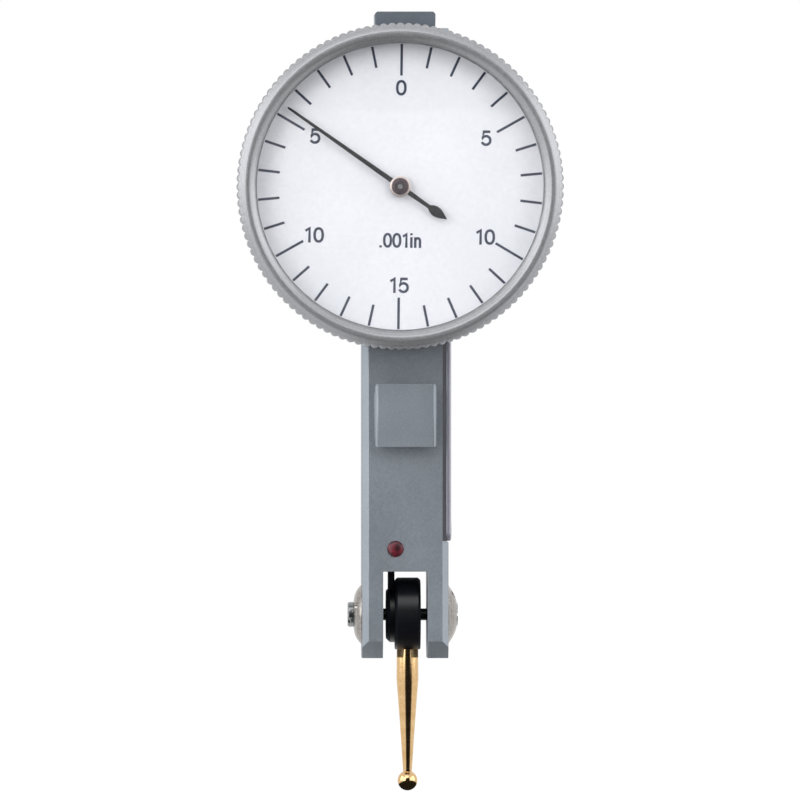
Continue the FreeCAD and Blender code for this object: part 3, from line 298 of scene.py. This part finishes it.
def new_piece(name, patches):
    """One object from (points in mm, faces) patches."""
    offsets = np.cumsum([0] + [len(points) for points, faces in patches[:-1]])
    points = np.concatenate([p for p, f in patches]) * MM
    faces = np.concatenate([f + start for (p, f), start in zip(patches, offsets)])
    mesh = bpy.data.meshes.new(name)
    mesh.from_pydata(points.tolist(), [], faces.tolist())
    settle(mesh)
    piece = bpy.data.objects.new(name, mesh)
    bpy.context.scene.collection.objects.link(piece)
    return piece


print("a 3 by 4 grid has", len(quads(3, 4, False, False)), "quads, and wrapped both ways",
      len(quads(3, 4, True, True)))

# %% [markdown]
# A turned piece is a profile carried round an axis. Its corners are never quite sharp, so each corner of
# the profile is replaced by a short curve before the profile goes round.

# %% Turned shapes
def eased(corners, reach, steps=5):
    """Replace each corner p by the curve (1-t)^2 a + 2t(1-t) p + t^2 b.

    The points a and b lie at the reach from p towards its two neighbours, but never past a share of the way.
    """
    share_of_way = 0.45
    corners = np.array(corners, float)
    reach = np.broadcast_to(reach, len(corners))[:, None]
    before = np.roll(corners, 1, 0) - corners
    after = np.roll(corners, -1, 0) - corners
    far_before = np.linalg.norm(before, axis=1, keepdims=True)
    far_after = np.linalg.norm(after, axis=1, keepdims=True)
    a = corners + before / far_before * np.minimum(reach, share_of_way * far_before)
    b = corners + after / far_after * np.minimum(reach, share_of_way * far_after)
    t = np.linspace(0, 1, steps)[None, :, None]
    curves = (1 - t) ** 2 * a[:, None] + 2 * t * (1 - t) * corners[:, None] + t ** 2 * b[:, None]
    return curves.reshape(-1, 2)


def lathe(profile, centre, axis, segments, closed=True):
    """Carry an (along, radius) profile round a line.

    The point at the angle a is centre + along * axis + radius * (cos a, sin a).
    """
    profile = np.array(profile, float)
    angle = np.linspace(0, 2 * math.pi, segments, endpoint=False)[:, None]
    along, radius = profile[None, :, 0], np.broadcast_to(profile[None, :, 1], (segments, len(profile)))
    order = {"X": (0, 1, 2), "Y": (1, 0, 2), "Z": (2, 0, 1)}[axis]
    grid = np.empty((segments, len(profile), 3))
    grid[..., order[0]] = along
    grid[..., order[1]] = radius * np.cos(angle)
    grid[..., order[2]] = radius * np.sin(angle)
    grid += np.array(centre)
    return grid.reshape(-1, 3), quads(segments, len(profile), True, closed)


test_profile = eased([(0, 0), (1, 0), (1, 1), (0, 1)], 0.2)
print("four corners eased into", len(test_profile), "points")

# %% [markdown]
# The bezel is a knurled ring that the fingers turn. A straight knurl is a ripple of the radius round the
# circle, cut into the blank after turning. Where the blank is smaller than the ripple, at the front and
# back chamfers, the cut runs out by itself, because the surface is whichever of the two is smaller.

# %% Knurled bezel
knurl_teeth = 120
knurl_depth = 0.24
valley_power = 0.8
samples_per_tooth = 10
window_radius = 14.3
window_lip = 0.7
bezel_bore = 15.06
band_radius = bezel_radius - 0.82
front_chamfer = 0.62
back_chamfer = 0.4
seat_radius = window_radius + 0.45
crystal_seat = bezel_front + 0.55
crystal_thickness = 0.72
crystal_back = crystal_seat + crystal_thickness
blank_corners = [(bezel_back, bezel_bore), (bezel_back, bezel_radius - back_chamfer),
                 (bezel_back - back_chamfer, bezel_radius), (bezel_front + front_chamfer, bezel_radius),
                 (bezel_front, band_radius), (bezel_front, window_radius + window_lip),
                 (crystal_seat, window_radius), (crystal_seat, seat_radius),
                 (crystal_back, seat_radius), (crystal_back, window_radius),
                 (dial_front, window_radius), (dial_front, bezel_bore)]
corner_reach = [0.08, 0.15, 0.15, 0.35, 0.2, 0.2, 0.08, 0.02, 0.02, 0.02, 0.05, 0.05]


def knurl(points, teeth, depth, samples):
    """Round-topped teeth with narrow valleys, from a limit on the radius.

    The limit is R - depth * (1 - |cos(teeth a / 2)|^valley_power).
    """
    grid = points.reshape(teeth * samples, -1, 3).copy()
    angle = np.linspace(0, 2 * math.pi, teeth * samples, endpoint=False)[:, None]
    limit = bezel_radius - depth * (1 - np.abs(np.cos(teeth * angle / 2)) ** valley_power)
    across = grid[..., (0, 2)] - np.array([dial_x, 0.0])
    radius = np.linalg.norm(across, axis=-1)
    scale = np.minimum(radius, limit) / radius
    grid[..., 0] = dial_x + across[..., 0] * scale
    grid[..., 2] = across[..., 1] * scale
    return grid.reshape(-1, 3)


blank_points, blank_faces = lathe(eased(blank_corners, corner_reach), dial_axis, "Y",
                                  knurl_teeth * samples_per_tooth)
knurled = knurl(blank_points, knurl_teeth, knurl_depth, samples_per_tooth)
knurled_bezel = new_piece("knurled_bezel", [(knurled, blank_faces)])
place_piece(knurled_bezel, "bezel", bezel_chrome, ["bezel"])

# %% [markdown]
# The lens is pressed into the bezel. A shallow dome keeps it from sagging on the hand: its height falls
# with the square of the distance from the middle.

# %% Lens
fit = 0.02
lens_rim = seat_radius - fit
lens_edge = window_radius - 0.05
lens_lift = 0.2
lens_dome = 0.28
lens_r = np.linspace(0, lens_edge, 40)
lens_front = crystal_seat - lens_lift - lens_dome * (1 - (lens_r / lens_r[-1]) ** 2)
front_line = np.stack([lens_front, lens_r], 1)
back_line = np.stack([np.full(12, crystal_back - fit), np.linspace(lens_rim, 0, 12)], 1)
step_line = np.array([[crystal_seat + fit, lens_edge], [crystal_seat + fit, lens_rim]])
lens_profile = np.concatenate([front_line, step_line, back_line])
lens = new_piece("lens", [lathe(lens_profile, dial_axis, "Y", 256, closed=False)])
place_piece(lens, "bezel", clear_acrylic, ["crystal"])

# %% [markdown]
# The dial is printed: thirty divisions, long ones at every fifth, and numbers that count to fifteen both
# ways from zero. Each mark is a ribbon of ink: a small rectangle carried along the stroke's centre line, so
# ink has a real thickness and the letters share one stroke width.

# %% Ribbons of ink
ink_thickness = 0.016
ink_back = dial_front + 0.002
ink_front = dial_front - ink_thickness
mitre_limit = 0.6


def ribbon(path, width, closed=False):
    """Ink with a front and a back over a path of (x, z) points.

    Each point moves by half the width to both sides, along the mean of the normals of the two runs that
    meet in it.
    """
    path = np.array(path, float)
    run = np.roll(path, -1, 0) - path
    if not closed:
        run[-1] = run[-2]
    run /= np.linalg.norm(run, axis=1, keepdims=True)
    came = np.roll(run, 1, 0)
    if not closed:
        came[0] = run[0]
    normal = np.stack([-run[:, 1] - came[:, 1], run[:, 0] + came[:, 0]], 1)
    normal /= np.linalg.norm(normal, axis=1, keepdims=True)
    stretch = 1 / np.maximum((normal * np.stack([-run[:, 1], run[:, 0]], 1)).sum(1), mitre_limit)
    side = normal * stretch[:, None] * width / 2
    left, right = path + side, path - side
    outline = np.stack([left, right, right, left], 1)
    ring = np.empty((len(path), 4, 3))
    ring[..., 0], ring[..., 2] = outline[..., 0], outline[..., 1]
    ring[:, :2, 1], ring[:, 2:, 1] = ink_front, ink_back
    faces = quads(len(path), 4, closed, True)
    if not closed:
        last = 4 * (len(path) - 1)
        faces = np.concatenate([faces, [[0, 1, 2, 3], [last, last + 1, last + 2, last + 3]]])
    return ring.reshape(-1, 3), faces


def moved(patch, turn_degrees, x, z):
    """Turn a patch of ink clockwise about its own origin and move it on the dial."""
    points, faces = patch
    turn = math.radians(turn_degrees)
    px, pz = points[:, 0], points[:, 2]
    flat = np.stack([x + px * math.cos(turn) + pz * math.sin(turn), points[:, 1],
                     z - px * math.sin(turn) + pz * math.cos(turn)], 1)
    return flat, faces


print("one tick is", len(ribbon([(0, 11), (0, 14)], 0.2)[1]), "faces")

# %% [markdown]
# The numbers are plain sans-serif figures. With a stroke of one width, a nought is a loop, a one is a bar
# with a flag, and a five is a bar, a short diagonal and most of an oval. They are drawn one unit high.

# %% Figures
stroke = 0.17


def oval(x, z, half_width, half_height, start, stop, count=28, power=2.3):
    """A superellipse: |cos|^(2/p) and |sin|^(2/p) with their signs, from one angle in degrees to another."""
    angle = np.radians(np.linspace(start, stop, count))
    c, s = np.cos(angle), np.sin(angle)
    return np.stack([x + half_width * np.sign(c) * np.abs(c) ** (2 / power),
                     z + half_height * np.sign(s) * np.abs(s) ** (2 / power)], 1)


GLYPHS = {
    "0": (0.74, [(oval(0.37, 0.5, 0.265, 0.425, 0, 350, 36), True)]),
    "1": (0.62, [(np.array([(0.12, 0.76), (0.39, 0.93), (0.39, 0.0)]), False)]),
    "5": (0.74, [(np.concatenate([[(0.63, 0.925), (0.21, 0.925), (0.125, 0.48)],
                                  oval(0.355, 0.355, 0.28, 0.28, 140, -158, 26, 2.1)]), False)]),
    ".": (0.36, [(np.array([(0.18, 0.0), (0.18, 0.15)]), False)]),
    "i": (0.34, [(np.array([(0.17, 0.0), (0.17, 0.73)]), False),
                 (np.array([(0.17, 0.86), (0.17, 1.0)]), False)]),
    "n": (0.66, [(np.array([(0.14, 0.0), (0.14, 0.73)]), False),
                 (np.concatenate([oval(0.33, 0.42, 0.19, 0.24, 150, 0, 14), [(0.52, 0.0)]]), False)]),
}


def figures(text, height, x, z, turn_degrees, squeeze=1.0):
    """Ink for a word, centred on x and z: each figure's strokes follow the last one's width."""
    widths = [GLYPHS[c][0] * squeeze for c in text]
    starts = np.cumsum([0] + widths[:-1]) - sum(widths) / 2
    patches = []
    for c, start in zip(text, starts):
        for path, closed in GLYPHS[c][1]:
            line = (path * (squeeze, 1) + (start, -0.5)) * height
            patches.append(moved(ribbon(line, stroke * height, closed), turn_degrees, x, z))
    return patches


print("figures drawn:", "".join(GLYPHS))

# %% [markdown]
# The ticks stand a division apart between two circles, and every fifth starts nearer the middle. The
# numbers stand upright on a smaller circle. The whole print is turned a little, as a bezel is never left
# quite straight.

# %% Print the dial
dial_turn = 0.7
division = 12.0
tick_width = 0.25
tick_outer = 14.2
long_tick_inner = 11.05
short_tick_inner = 12.05
ink = []
for k in range(30):
    inner = long_tick_inner if k % 5 == 0 else short_tick_inner
    tick = ribbon([(0, inner), (0, tick_outer)], tick_width)
    ink.append(moved(tick, k * division + dial_turn, dial_x, 0.0))
figure_radius = 9.83
figure_height = 1.52
for word, clock in (("0", 0), ("5", 60), ("10", 120), ("15", 180), ("10", 240), ("5", 300)):
    turn = math.radians(clock + dial_turn)
    x, z = dial_x + figure_radius * math.sin(turn), figure_radius * math.cos(turn)
    ink += figures(word, figure_height, x, z, dial_turn)
marking_height = 1.45
marking_z = -5.36
ink += figures(".001in", marking_height, dial_x, marking_z, dial_turn, squeeze=0.86)
place_piece(new_piece("dial_print", ink), "bezel", dial_ink)

# %% [markdown]
# The hand is a thin blade that tapers to the tip, with a leaf behind the hub to balance it. Its half width
# is a curve along its length, and its section is a flat oval, so light runs along it as on a pressed hand.

# %% Hand
hand_low, hand_high = span("pointer_hand")
hand_y = (hand_low[1] + hand_high[1]) / 2
hand_half_thickness = (hand_high[1] - hand_low[1]) / 2
hand_angle = math.radians(54.9)
tail, leaf_end, tip_start, tip = -5.68, -3.3, 13.2, 13.72
stations = np.array([tail, -5.45, -5.0, -4.6, -4.2, -3.8, -3.55, -3.4, 0.0, 13.3, 13.6, tip])
half_widths = np.array([0.02, 0.13, 0.36, 0.5, 0.52, 0.4, 0.22, 0.2, 0.26, 0.13, 0.1, 0.02])
along = np.unique(np.concatenate([np.linspace(tail, leaf_end, 40), np.linspace(leaf_end, tip_start, 50),
                                  np.linspace(tip_start, tip, 10)]))
half = np.interp(along, stations, half_widths)[:, None]
section_points = 16
section_power = 0.6
thin_from = 0.1
round_angle = np.linspace(0, 2 * math.pi, section_points, endpoint=False)[None, :]
c, s = np.cos(round_angle), np.sin(round_angle)
out = half * np.sign(c) * np.abs(c) ** section_power
lift = hand_half_thickness * np.sign(s) * np.abs(s) ** section_power * np.minimum(1, half / thin_from)
line = np.broadcast_to(along[:, None], out.shape)
grid = np.stack([dial_x - line * math.sin(hand_angle) + out * math.cos(hand_angle),
                 np.broadcast_to(hand_y + lift, out.shape),
                 line * math.cos(hand_angle) + out * math.sin(hand_angle)], -1)
blade = (grid.reshape(-1, 3), quads(len(along), section_points, False, True))
# A fan of triangles covers each end. They are written as quads whose last corner comes twice, and an STL file
# leaves such faces out.
end_ring = np.arange(section_points)
fan = np.stack([end_ring[:-2] * 0, end_ring[1:-1], end_ring[2:], end_ring[2:]], 1)
ends = np.concatenate([fan, fan + section_points * (len(along) - 1)])
eye_bore, eye_radius = 0.42, 1.0
eye_corners = [(hand_low[1], eye_bore), (hand_low[1], eye_radius), (hand_high[1], eye_radius),
               (hand_high[1], eye_bore)]
eye = lathe(eased(eye_corners, 0.03), dial_axis, "Y", 64)
hand = new_piece("hand", [(blade[0], np.concatenate([blade[1], ends])), eye])
place_piece(hand, "pointer", blued_hand, ["pointer_hand"])

# %% [markdown]
# A turned bush holds the hand on its arbor. Seen from the front it is a small brown-grey button with a pale
# rim. The pale ring is partly bare polished metal and partly a painted highlight of the rounded edge, and the
# colour depends only on the distance from the axis.

# %% Bush
bush_metal, tree = blank("browned_bush_with_painted_highlight_rim")
place = add(tree, "TexCoord", out=3)
radius = distance_from(tree, place, dial_axis, "Y")
# Painted highlight: the pale ring stands for light caught on the bush's rounded edge, over its bare polished
# metal.
pale_rim_highlight = add(tree, "MapRange", {"Value": radius, "From Min": 0.80 * MM, "From Max": 0.90 * MM})
grain = add(tree, "TexNoise", {"Vector": place, "Scale": 1 / (0.25 * MM), "Detail": 2.0})
brown = add(tree, "Mix", {0: grain, 6: linear("352C30"), 7: linear("62565A")}, out=2, data_type="RGBA")
colour = add(tree, "Mix", {0: pale_rim_highlight, 6: brown, 7: linear("D8CBC6")}, out=2, data_type="RGBA")
surface = add(tree, "BsdfPrincipled", {"Base Color": colour, "Metallic": 0.7, "Roughness": 0.35})
add(tree, "OutputMaterial", {"Surface": surface})
bush_front = span("pointer_bush")[0][1]
bush_back = hand_low[1] - 0.01
bush_bore, button_radius, flange_radius = 0.26, 0.9, 1.04
bush_corners = [(bush_front, bush_bore), (bush_front, 0.62), (bush_front + 0.14, 0.84),
                (bush_front + 0.3, button_radius), (bush_front + 0.33, flange_radius),
                (bush_back, flange_radius), (bush_back, bush_bore)]
bush = new_piece("hand_bush", [lathe(eased(bush_corners, 0.06), dial_axis, "Y", 96)])
place_piece(bush, "pointer", bush_metal, ["pointer_bush"])

# %% [markdown]
# Cast and milled pieces keep their CAD shape, but no real edge is sharp: plating and handling round it by a
# tenth of a millimetre, and that thin round edge is what catches the light. A copy of the CAD piece has its
# triangles joined into flat faces, and a Bevel modifier rounds only the long edges that meet at an angle.

# %% Rounded copies of milled pieces
flat_angle = math.radians(0.5)
sharp_angle = math.radians(30)


def rounded(node, name, width_mm, least_mm, body, material, segments=2):
    """A copy of a CAD piece with its flat triangles joined and its real edges bevelled.

    A real edge is longer than least_mm and sharper than sharp_angle.
    """
    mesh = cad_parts[node].data.copy()
    mesh.name = name
    shape = bmesh.new()
    shape.from_mesh(mesh)
    bmesh.ops.remove_doubles(shape, verts=shape.verts, dist=0.001 * MM)
    bmesh.ops.dissolve_limit(shape, angle_limit=flat_angle, verts=shape.verts, edges=shape.edges)
    weight = shape.edges.layers.float.new("bevel_weight_edge")
    marked = 0
    for edge in shape.edges:
        sharp = len(edge.link_faces) == 2 and edge.calc_face_angle(0.0) > sharp_angle
        if sharp and edge.calc_length() > least_mm * MM:
            edge[weight] = 1.0
            marked += 1
    shape.to_mesh(mesh)
    shape.free()
    mesh.polygons.foreach_set("use_smooth", np.ones(len(mesh.polygons), bool))
    mesh.set_sharp_from_angle(angle=sharp_angle)
    piece = bpy.data.objects.new(name, mesh)
    bpy.context.scene.collection.objects.link(piece)
    bevel = piece.modifiers.new("edge_round", "BEVEL")
    bevel.limit_method = "WEIGHT"
    bevel.width = width_mm * MM
    bevel.segments = segments
    bevel.use_clamp_overlap = False
    print(name, "rounds", marked, "edges")
    place_piece(piece, body, material, [node])


rounded("housing", "body_casting", 0.06, 1.6, "housing", satin_chrome)
rounded("side_cover", "cover_plate", 0.08, 1.0, "housing", cover_chrome)
rounded("contact_holder", "holder_drum", 0.06, 1.0, "contact", black_oxide)
rounded("lever_arm", "lever_with_hub", 0.06, 1.0, "lever", black_oxide)

# %% [markdown]
# A thin dark strip lies in the corner between the body's front edge and the cover, and shows as a dark line.
# It is painted shade that stands for the shadow in the groove there. Its section is given as X and the depth
# behind the body's front.

# %% Painted shadow in the cover groove
cover_low, cover_high = span("side_cover")
body_face = span("dial_case")[1][1]
gap_shadow_section = np.array([(3.74, -0.02), (4.17, 0.41), (4.17, 0.6), (3.74, 0.2)])
gap_shadow_points = np.empty((2, 4, 3))
gap_shadow_points[:, :, 0] = gap_shadow_section[:, 0]
gap_shadow_points[:, :, 1] = body_face + gap_shadow_section[:, 1]
gap_shadow_points[0, :, 2], gap_shadow_points[1, :, 2] = cover_low[2], cover_high[2]
gap_shadow_faces = np.concatenate([quads(2, 4, False, True), [[0, 1, 2, 3], [4, 5, 6, 7]]])
# Painted shade: this dark strip stands for the shadow in the groove beside the cover.
gap_shadow_strip = new_piece("gap_shadow_strip", [(gap_shadow_points.reshape(-1, 3), gap_shadow_faces)])
place_piece(gap_shadow_strip, "housing", gap_shadow_dark)

# %% [markdown]
# The dial case is a plain turned cup, seen from behind and in the gap behind the bezel.

# %% Dial case
case_low, case_high = span("dial_case")
case_front, case_back = case_low[1], case_high[1]
case_radius = (case_high[0] - case_low[0]) / 2
case_bore = 0.55
case_inside = case_radius - 0.8
case_floor = case_back - 0.9
case_corners = [(case_back, case_bore), (case_back, case_radius), (case_front, case_radius),
                (case_front, case_inside), (case_floor, case_inside), (case_floor, case_bore)]
case = new_piece("turned_case", [lathe(eased(case_corners, 0.1), dial_axis, "Y", 256)])
place_piece(case, "housing", case_metal, ["dial_case"])

# %% [markdown]
# Each ear carries a nickel-plated lock nut: a dome with two small holes for a pin spanner. The dome's
# height is a function of the radius, and the holes are two places where the height drops, with a steep but
# smooth wall.

# %% Lock nuts
nut_bore = 1.12
nut_radius = 2.95
hole_circle = 2.15
hole_radius = 0.36
hole_depth = 0.45
hole_wall = 0.06
hole_floor = 0.1
rim_height = 0.05
nut_segments = 240


def domed_nut(side, base_x, height, power, first_hole):
    """The dome is h * (1 - (r / R)^power) high, so a higher power keeps its nose flat.

    Each of the two holes takes it down by hole_depth, with a wall that slopes over hole_wall.
    """
    turn = np.linspace(0, 2 * math.pi, nut_segments, endpoint=False)[:, None]
    radius = np.concatenate([[nut_bore, nut_bore], np.linspace(nut_bore, nut_radius, 48),
                             [nut_radius, nut_radius]])[None, :]
    rise = rim_height + (height - rim_height) * (1 - (radius / nut_radius) ** power)
    rise[0, 0] = rise[0, -1] = 0.0
    rise = np.broadcast_to(rise, (nut_segments, rise.shape[1])).copy()
    for hole in (0.0, math.pi):
        gap = np.hypot(radius * np.cos(turn) - hole_circle * math.cos(hole + first_hole),
                       radius * np.sin(turn) - hole_circle * math.sin(hole + first_hole))
        drop = np.clip((hole_radius - gap) / hole_wall, 0, 1)
        rise[:, 1:-1] = np.maximum(rise - hole_depth * drop, np.minimum(rise, hole_floor))[:, 1:-1]
    grid = np.stack([base_x + side * rise, pivot_y + radius * np.cos(turn), pivot_z + radius * np.sin(turn)],
                    -1)
    return grid.reshape(-1, 3), quads(nut_segments, grid.shape[1], True, True)


left_box, right_box = span("lock_nut_left"), span("lock_nut_right")
left_nut = new_piece("left_lock_nut", [domed_nut(-1, left_box[1][0], 0.83, 4.2, 2.75)])
right_nut = new_piece("right_lock_nut", [domed_nut(1, right_box[0][0], 1.04, 2.3, 1.95)])
place_piece(left_nut, "housing", nickel, ["lock_nut_left"])
place_piece(right_nut, "housing", nickel, ["lock_nut_right"])
rounded("bearing_screw_left", "left_bearing_screw", 0.04, 0.5, "housing", screw_steel)
rounded("bearing_screw_right", "right_bearing_screw", 0.04, 0.5, "housing", screw_steel)

# %% [markdown]
# The contact is one slender turned piece that ends in a ball. The stem's radius holds for a short collar,
# then falls on a smooth curve to the neck, and the ball is a full round of points.

# %% Stem and ball
seat_z = span("contact_holder")[0][2]
socket_top = seat_z + 1.4
socket_radius = 0.7
collar_z = pivot_z - 6.5
collar_radius = 1.11
neck_radius = 0.45
neck_z = ball_centre[2] + math.sqrt(ball_radius ** 2 - neck_radius ** 2)
end_z = neck_z - 0.1
fall = np.linspace(0, 1, 40)
taper = np.stack([collar_z + (neck_z + 0.05 - collar_z) * fall,
                  collar_radius + (neck_radius - collar_radius) * (1.16 * fall - 0.16 * fall ** 2)], 1)
# The first corner lies on the axis and stays as it is, so its five eased points are left out.
collar = eased([(socket_top, 0.0), (socket_top, socket_radius), (seat_z, socket_radius),
                (seat_z, collar_radius)], 0.05)[5:]
stem_profile = np.concatenate([[(socket_top, 0.0)], collar, taper,
                               [(end_z, neck_radius - 0.02), (end_z, 0.0)]])
stem = new_piece("gold_stem", [lathe(stem_profile, stem_axis, "Z", 96, closed=False)])
place_piece(stem, "contact", gold, ["contact_stem"])
latitude = np.linspace(-math.pi / 2, math.pi / 2, 49)
ball_profile = np.stack([ball_centre[2] + ball_radius * np.sin(latitude), ball_radius * np.cos(latitude)], 1)
ball = new_piece("gold_ball", [lathe(ball_profile, stem_axis, "Z", 96, closed=False)])
place_piece(ball, "contact", gold, ["contact_ball"])

# %% [markdown]
# The drop of lacquer has spread a little unevenly: its outline and its height carry a slow ripple.

# %% Lacquer drop
drop_low, drop_high = span("sealing_lacquer")
drop_x, drop_z = (drop_low[0] + drop_high[0]) / 2, (drop_low[2] + drop_high[2]) / 2
drop_radius = (drop_high[0] - drop_low[0]) / 2
around, rings = 72, 24
share = np.linspace(0, 1, rings)[None, :]
turn = np.linspace(0, 2 * math.pi, around, endpoint=False)[:, None]
edge = drop_radius * (1.0 + 0.03 * np.sin(3 * turn + 1.0) + 0.02 * np.sin(5 * turn))
front_y = drop_high[1] - 0.33
height = (front_y - drop_low[1]) * np.sqrt(1 - share ** 2) * (1 + 0.08 * np.sin(2 * turn) * share)
cap = np.stack([drop_x + edge * share * np.cos(turn), np.broadcast_to(front_y - height, (around, rings)),
                drop_z + edge * share * np.sin(turn)], -1)
under_edge = 0.98 * edge
under = np.stack([drop_x + under_edge * (1 - share) * np.cos(turn), np.full((around, rings), drop_high[1]),
                  drop_z + under_edge * (1 - share) * np.sin(turn)], -1)
grid = np.concatenate([cap, under], 1)
drop = new_piece("lacquer_drop", [(grid.reshape(-1, 3), quads(around, 2 * rings, True, False))])
place_piece(drop, "housing", red_lacquer, ["sealing_lacquer"])

# %% [markdown]
# The pieces that keep their CAD shape get their finish by name.

# %% Finishes for the CAD pieces
FINISHES = {
    "cover_screws": screw_steel, "case_screws": screw_steel, "cock_screw": screw_steel,
    "bridge_screws": screw_steel, "stop_screw": screw_steel,
    "friction_ring": spring_steel, "clutch_spring": spring_steel, "centring_spring": spring_steel,
    "dial_face": dial_enamel, "pivot_jewels": ruby, "center_jewel": ruby, "lever_axle": black_oxide,
    "pinion_cock": movement_brass, "train_bridge": movement_brass, "crown_wheel": movement_brass,
    "sector_gear": movement_brass, "spring_collet": movement_brass, "spring_stud": movement_brass,
    "hairspring": hairspring_bronze,
    "crown_arbor": ground_steel, "pointer_arbor": ground_steel, "sector_rivets": ground_steel,
    "lever_pin": ground_steel, "clutch_nut": ground_steel, "spring_post": ground_steel,
    "banking_pin": ground_steel,
}
for node, material in FINISHES.items():
    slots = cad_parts[node].material_slots
    for each in slots:
        each.material = material
    if not slots:
        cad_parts[node].data.materials.append(material)
left_plain = sorted(n for n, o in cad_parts.items() if n not in FINISHES and not o.hide_render)
print("CAD pieces with a finish:", len(FINISHES), "left plain:", left_plain)

# %% [markdown]
# The indicator stands in a white tent with a dark opening at the front, as jewellery does. What a mirror
# sees in a direction is white, and falls to nearly black inside a cone round the opening.

# %% The opening of the tent
OPENING = (0.17, -0.985, 0.0)
WHITE_BELOW, DARK_ABOVE = 0.76, 0.88
OPENING_DARK = 0.02


def opening_level(tree, direction):
    """From 1 away from the opening to OPENING_DARK inside it: a smooth step of the angle's cosine."""
    cosine = add(tree, "VectorMath", {0: direction, 1: OPENING}, out=1, operation="DOT_PRODUCT")
    return add(tree, "MapRange", {"Value": cosine, "From Min": WHITE_BELOW, "From Max": DARK_ABOVE,
                                  "To Min": 1.0, "To Max": OPENING_DARK}, interpolation_type="SMOOTHSTEP")


def ray_kinds(tree):
    """Two factors: 1 for what is seen directly or through the lens, and 1 for what is mirrored."""
    path = tree.nodes.new("ShaderNodeLightPath").outputs
    seen = add(tree, "Math", {0: path["Is Camera Ray"], 1: path["Is Transmission Ray"]}, operation="MAXIMUM")
    return seen, path["Is Glossy Ray"]


print("opening direction", OPENING)

# %% [markdown]
# The floor is a plain pale sheet just under the contact ball. Seen directly it is nearly white by itself
# and keeps a faint shadow. In the metal it shows like the tent above it: white, and dark towards the
# opening.

# %% Floor
floor_gap = 0.02
floor_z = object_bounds()[0][2] - floor_gap * MM
reach = 30.0
floor_glow = 1.09
glow_share = 0.86
floor_mesh = bpy.data.meshes.new("floor")
floor_mesh.from_pydata([(-reach, -reach, floor_z), (reach, -reach, floor_z), (reach, reach, floor_z),
                        (-reach, reach, floor_z)], [], [(0, 1, 2, 3)])
floor = bpy.data.objects.new("floor", floor_mesh)
bpy.context.scene.collection.objects.link(floor)
floor_paper, tree = blank("pale_floor")
seen, mirrored = ray_kinds(tree)
paper = add(tree, "BsdfDiffuse", {"Color": linear("E6E6E6")})
level_way = add(tree, "VectorMath", {0: add(tree, "TexCoord", out=3), 1: (1, 1, 0)}, operation="MULTIPLY")
outwards = add(tree, "VectorMath", {0: level_way}, operation="NORMALIZE")
strength = add(tree, "Mix", {0: mirrored, 2: floor_glow, 3: opening_level(tree, outwards)}, out=0,
               data_type="FLOAT")
glow = add(tree, "Emission", {"Color": (1, 1, 1, 1), "Strength": strength})
share = add(tree, "Math", {0: seen, 1: glow_share}, operation="MULTIPLY")
share = add(tree, "Math", {0: share, 1: mirrored}, operation="MAXIMUM")
add(tree, "OutputMaterial", {"Surface": add(tree, "MixShader", {0: share, 1: paper, 2: glow})})
floor_mesh.materials.append(floor_paper)
print("floor at z", round(floor_z / MM, 2), "mm")

# %% [markdown]
# Soft light comes from both sides, from above and from beside the opening. The bright sides give the
# chamfers and the stem their bright edges, and the opening gives the polished stem its dark middle line.
# The world holds the tent: white where it is seen directly or through the lens, white with the dark opening
# where it is mirrored, and a plain soft level for the rest.

# %% Light tent
world = bpy.data.worlds.new("light_tent")
bpy.context.scene.world = world
world.use_nodes = True
tree = world.node_tree
tree.nodes.clear()
seen, mirrored = ray_kinds(tree)
tent = opening_level(tree, add(tree, "TexCoord", out=0))
soft_level = 0.68
level = add(tree, "Mix", {0: mirrored, 2: soft_level, 3: tent}, out=0, data_type="FLOAT")
level = add(tree, "Mix", {0: seen, 2: level, 3: 1.0}, out=0, data_type="FLOAT")
add(tree, "OutputWorld", {"Surface": add(tree, "Background", {"Color": (1, 1, 1, 1), "Strength": level})})
world.cycles.sampling_method = "NONE"


lamp_aim = Vector((0, -0.01, -0.02))


def lamp(name, x, y, z, width, tall, watts):
    """A soft box at x, y, z in metres, aimed at the middle of the body."""
    light = bpy.data.lights.new(name, "AREA")
    light.shape = "RECTANGLE"
    light.size, light.size_y, light.energy = width, tall, watts
    box = bpy.data.objects.new(name, light)
    box.location = (x, y, z)
    box.rotation_euler = (lamp_aim - box.location).to_track_quat("-Z", "Y").to_euler()
    bpy.context.scene.collection.objects.link(box)


lamp("top_box", -0.08, -0.42, 0.36, 0.4, 0.3, 0.5)
lamp("front_left_box", -0.40, -0.50, 0.12, 0.3, 0.4, 0.92)
lamp("front_right_box", 0.42, -0.50, 0.12, 0.3, 0.4, 0.66)
lamp("left_box", -0.5, -0.12, 0.1, 0.3, 0.5, 0.85)
lamp("right_box", 0.5, -0.12, 0.1, 0.3, 0.5, 0.8)
print("tent level", soft_level)

# %% [markdown]
# The camera looks straight at the dial from a little to the left, from far enough away that the body hardly
# narrows. The frame is square and eighty millimetres tall at the body's front.

# %% Camera
scene = bpy.context.scene
camera_distance = 1.6
sensor_width = 36.0
frame_height = 0.0800
aim = Vector((-0.55 * MM, -11.5 * MM, -21.3 * MM))
yaw = math.radians(1.0)
camera_data = bpy.data.cameras.new("camera")
camera_data.sensor_width = sensor_width
camera_data.lens = sensor_width * camera_distance / frame_height
camera_data.clip_start = 0.01
camera_data.clip_end = 20.0
camera = bpy.data.objects.new("camera", camera_data)
camera.location = aim + Vector((-math.sin(yaw), -math.cos(yaw), 0.0)) * camera_distance
camera.rotation_euler = (aim - camera.location).to_track_quat("-Z", "Y").to_euler()
scene.collection.objects.link(camera)
scene.camera = camera
scene.view_settings.view_transform = "Standard"
print("lens", round(camera_data.lens, 1), "mm")
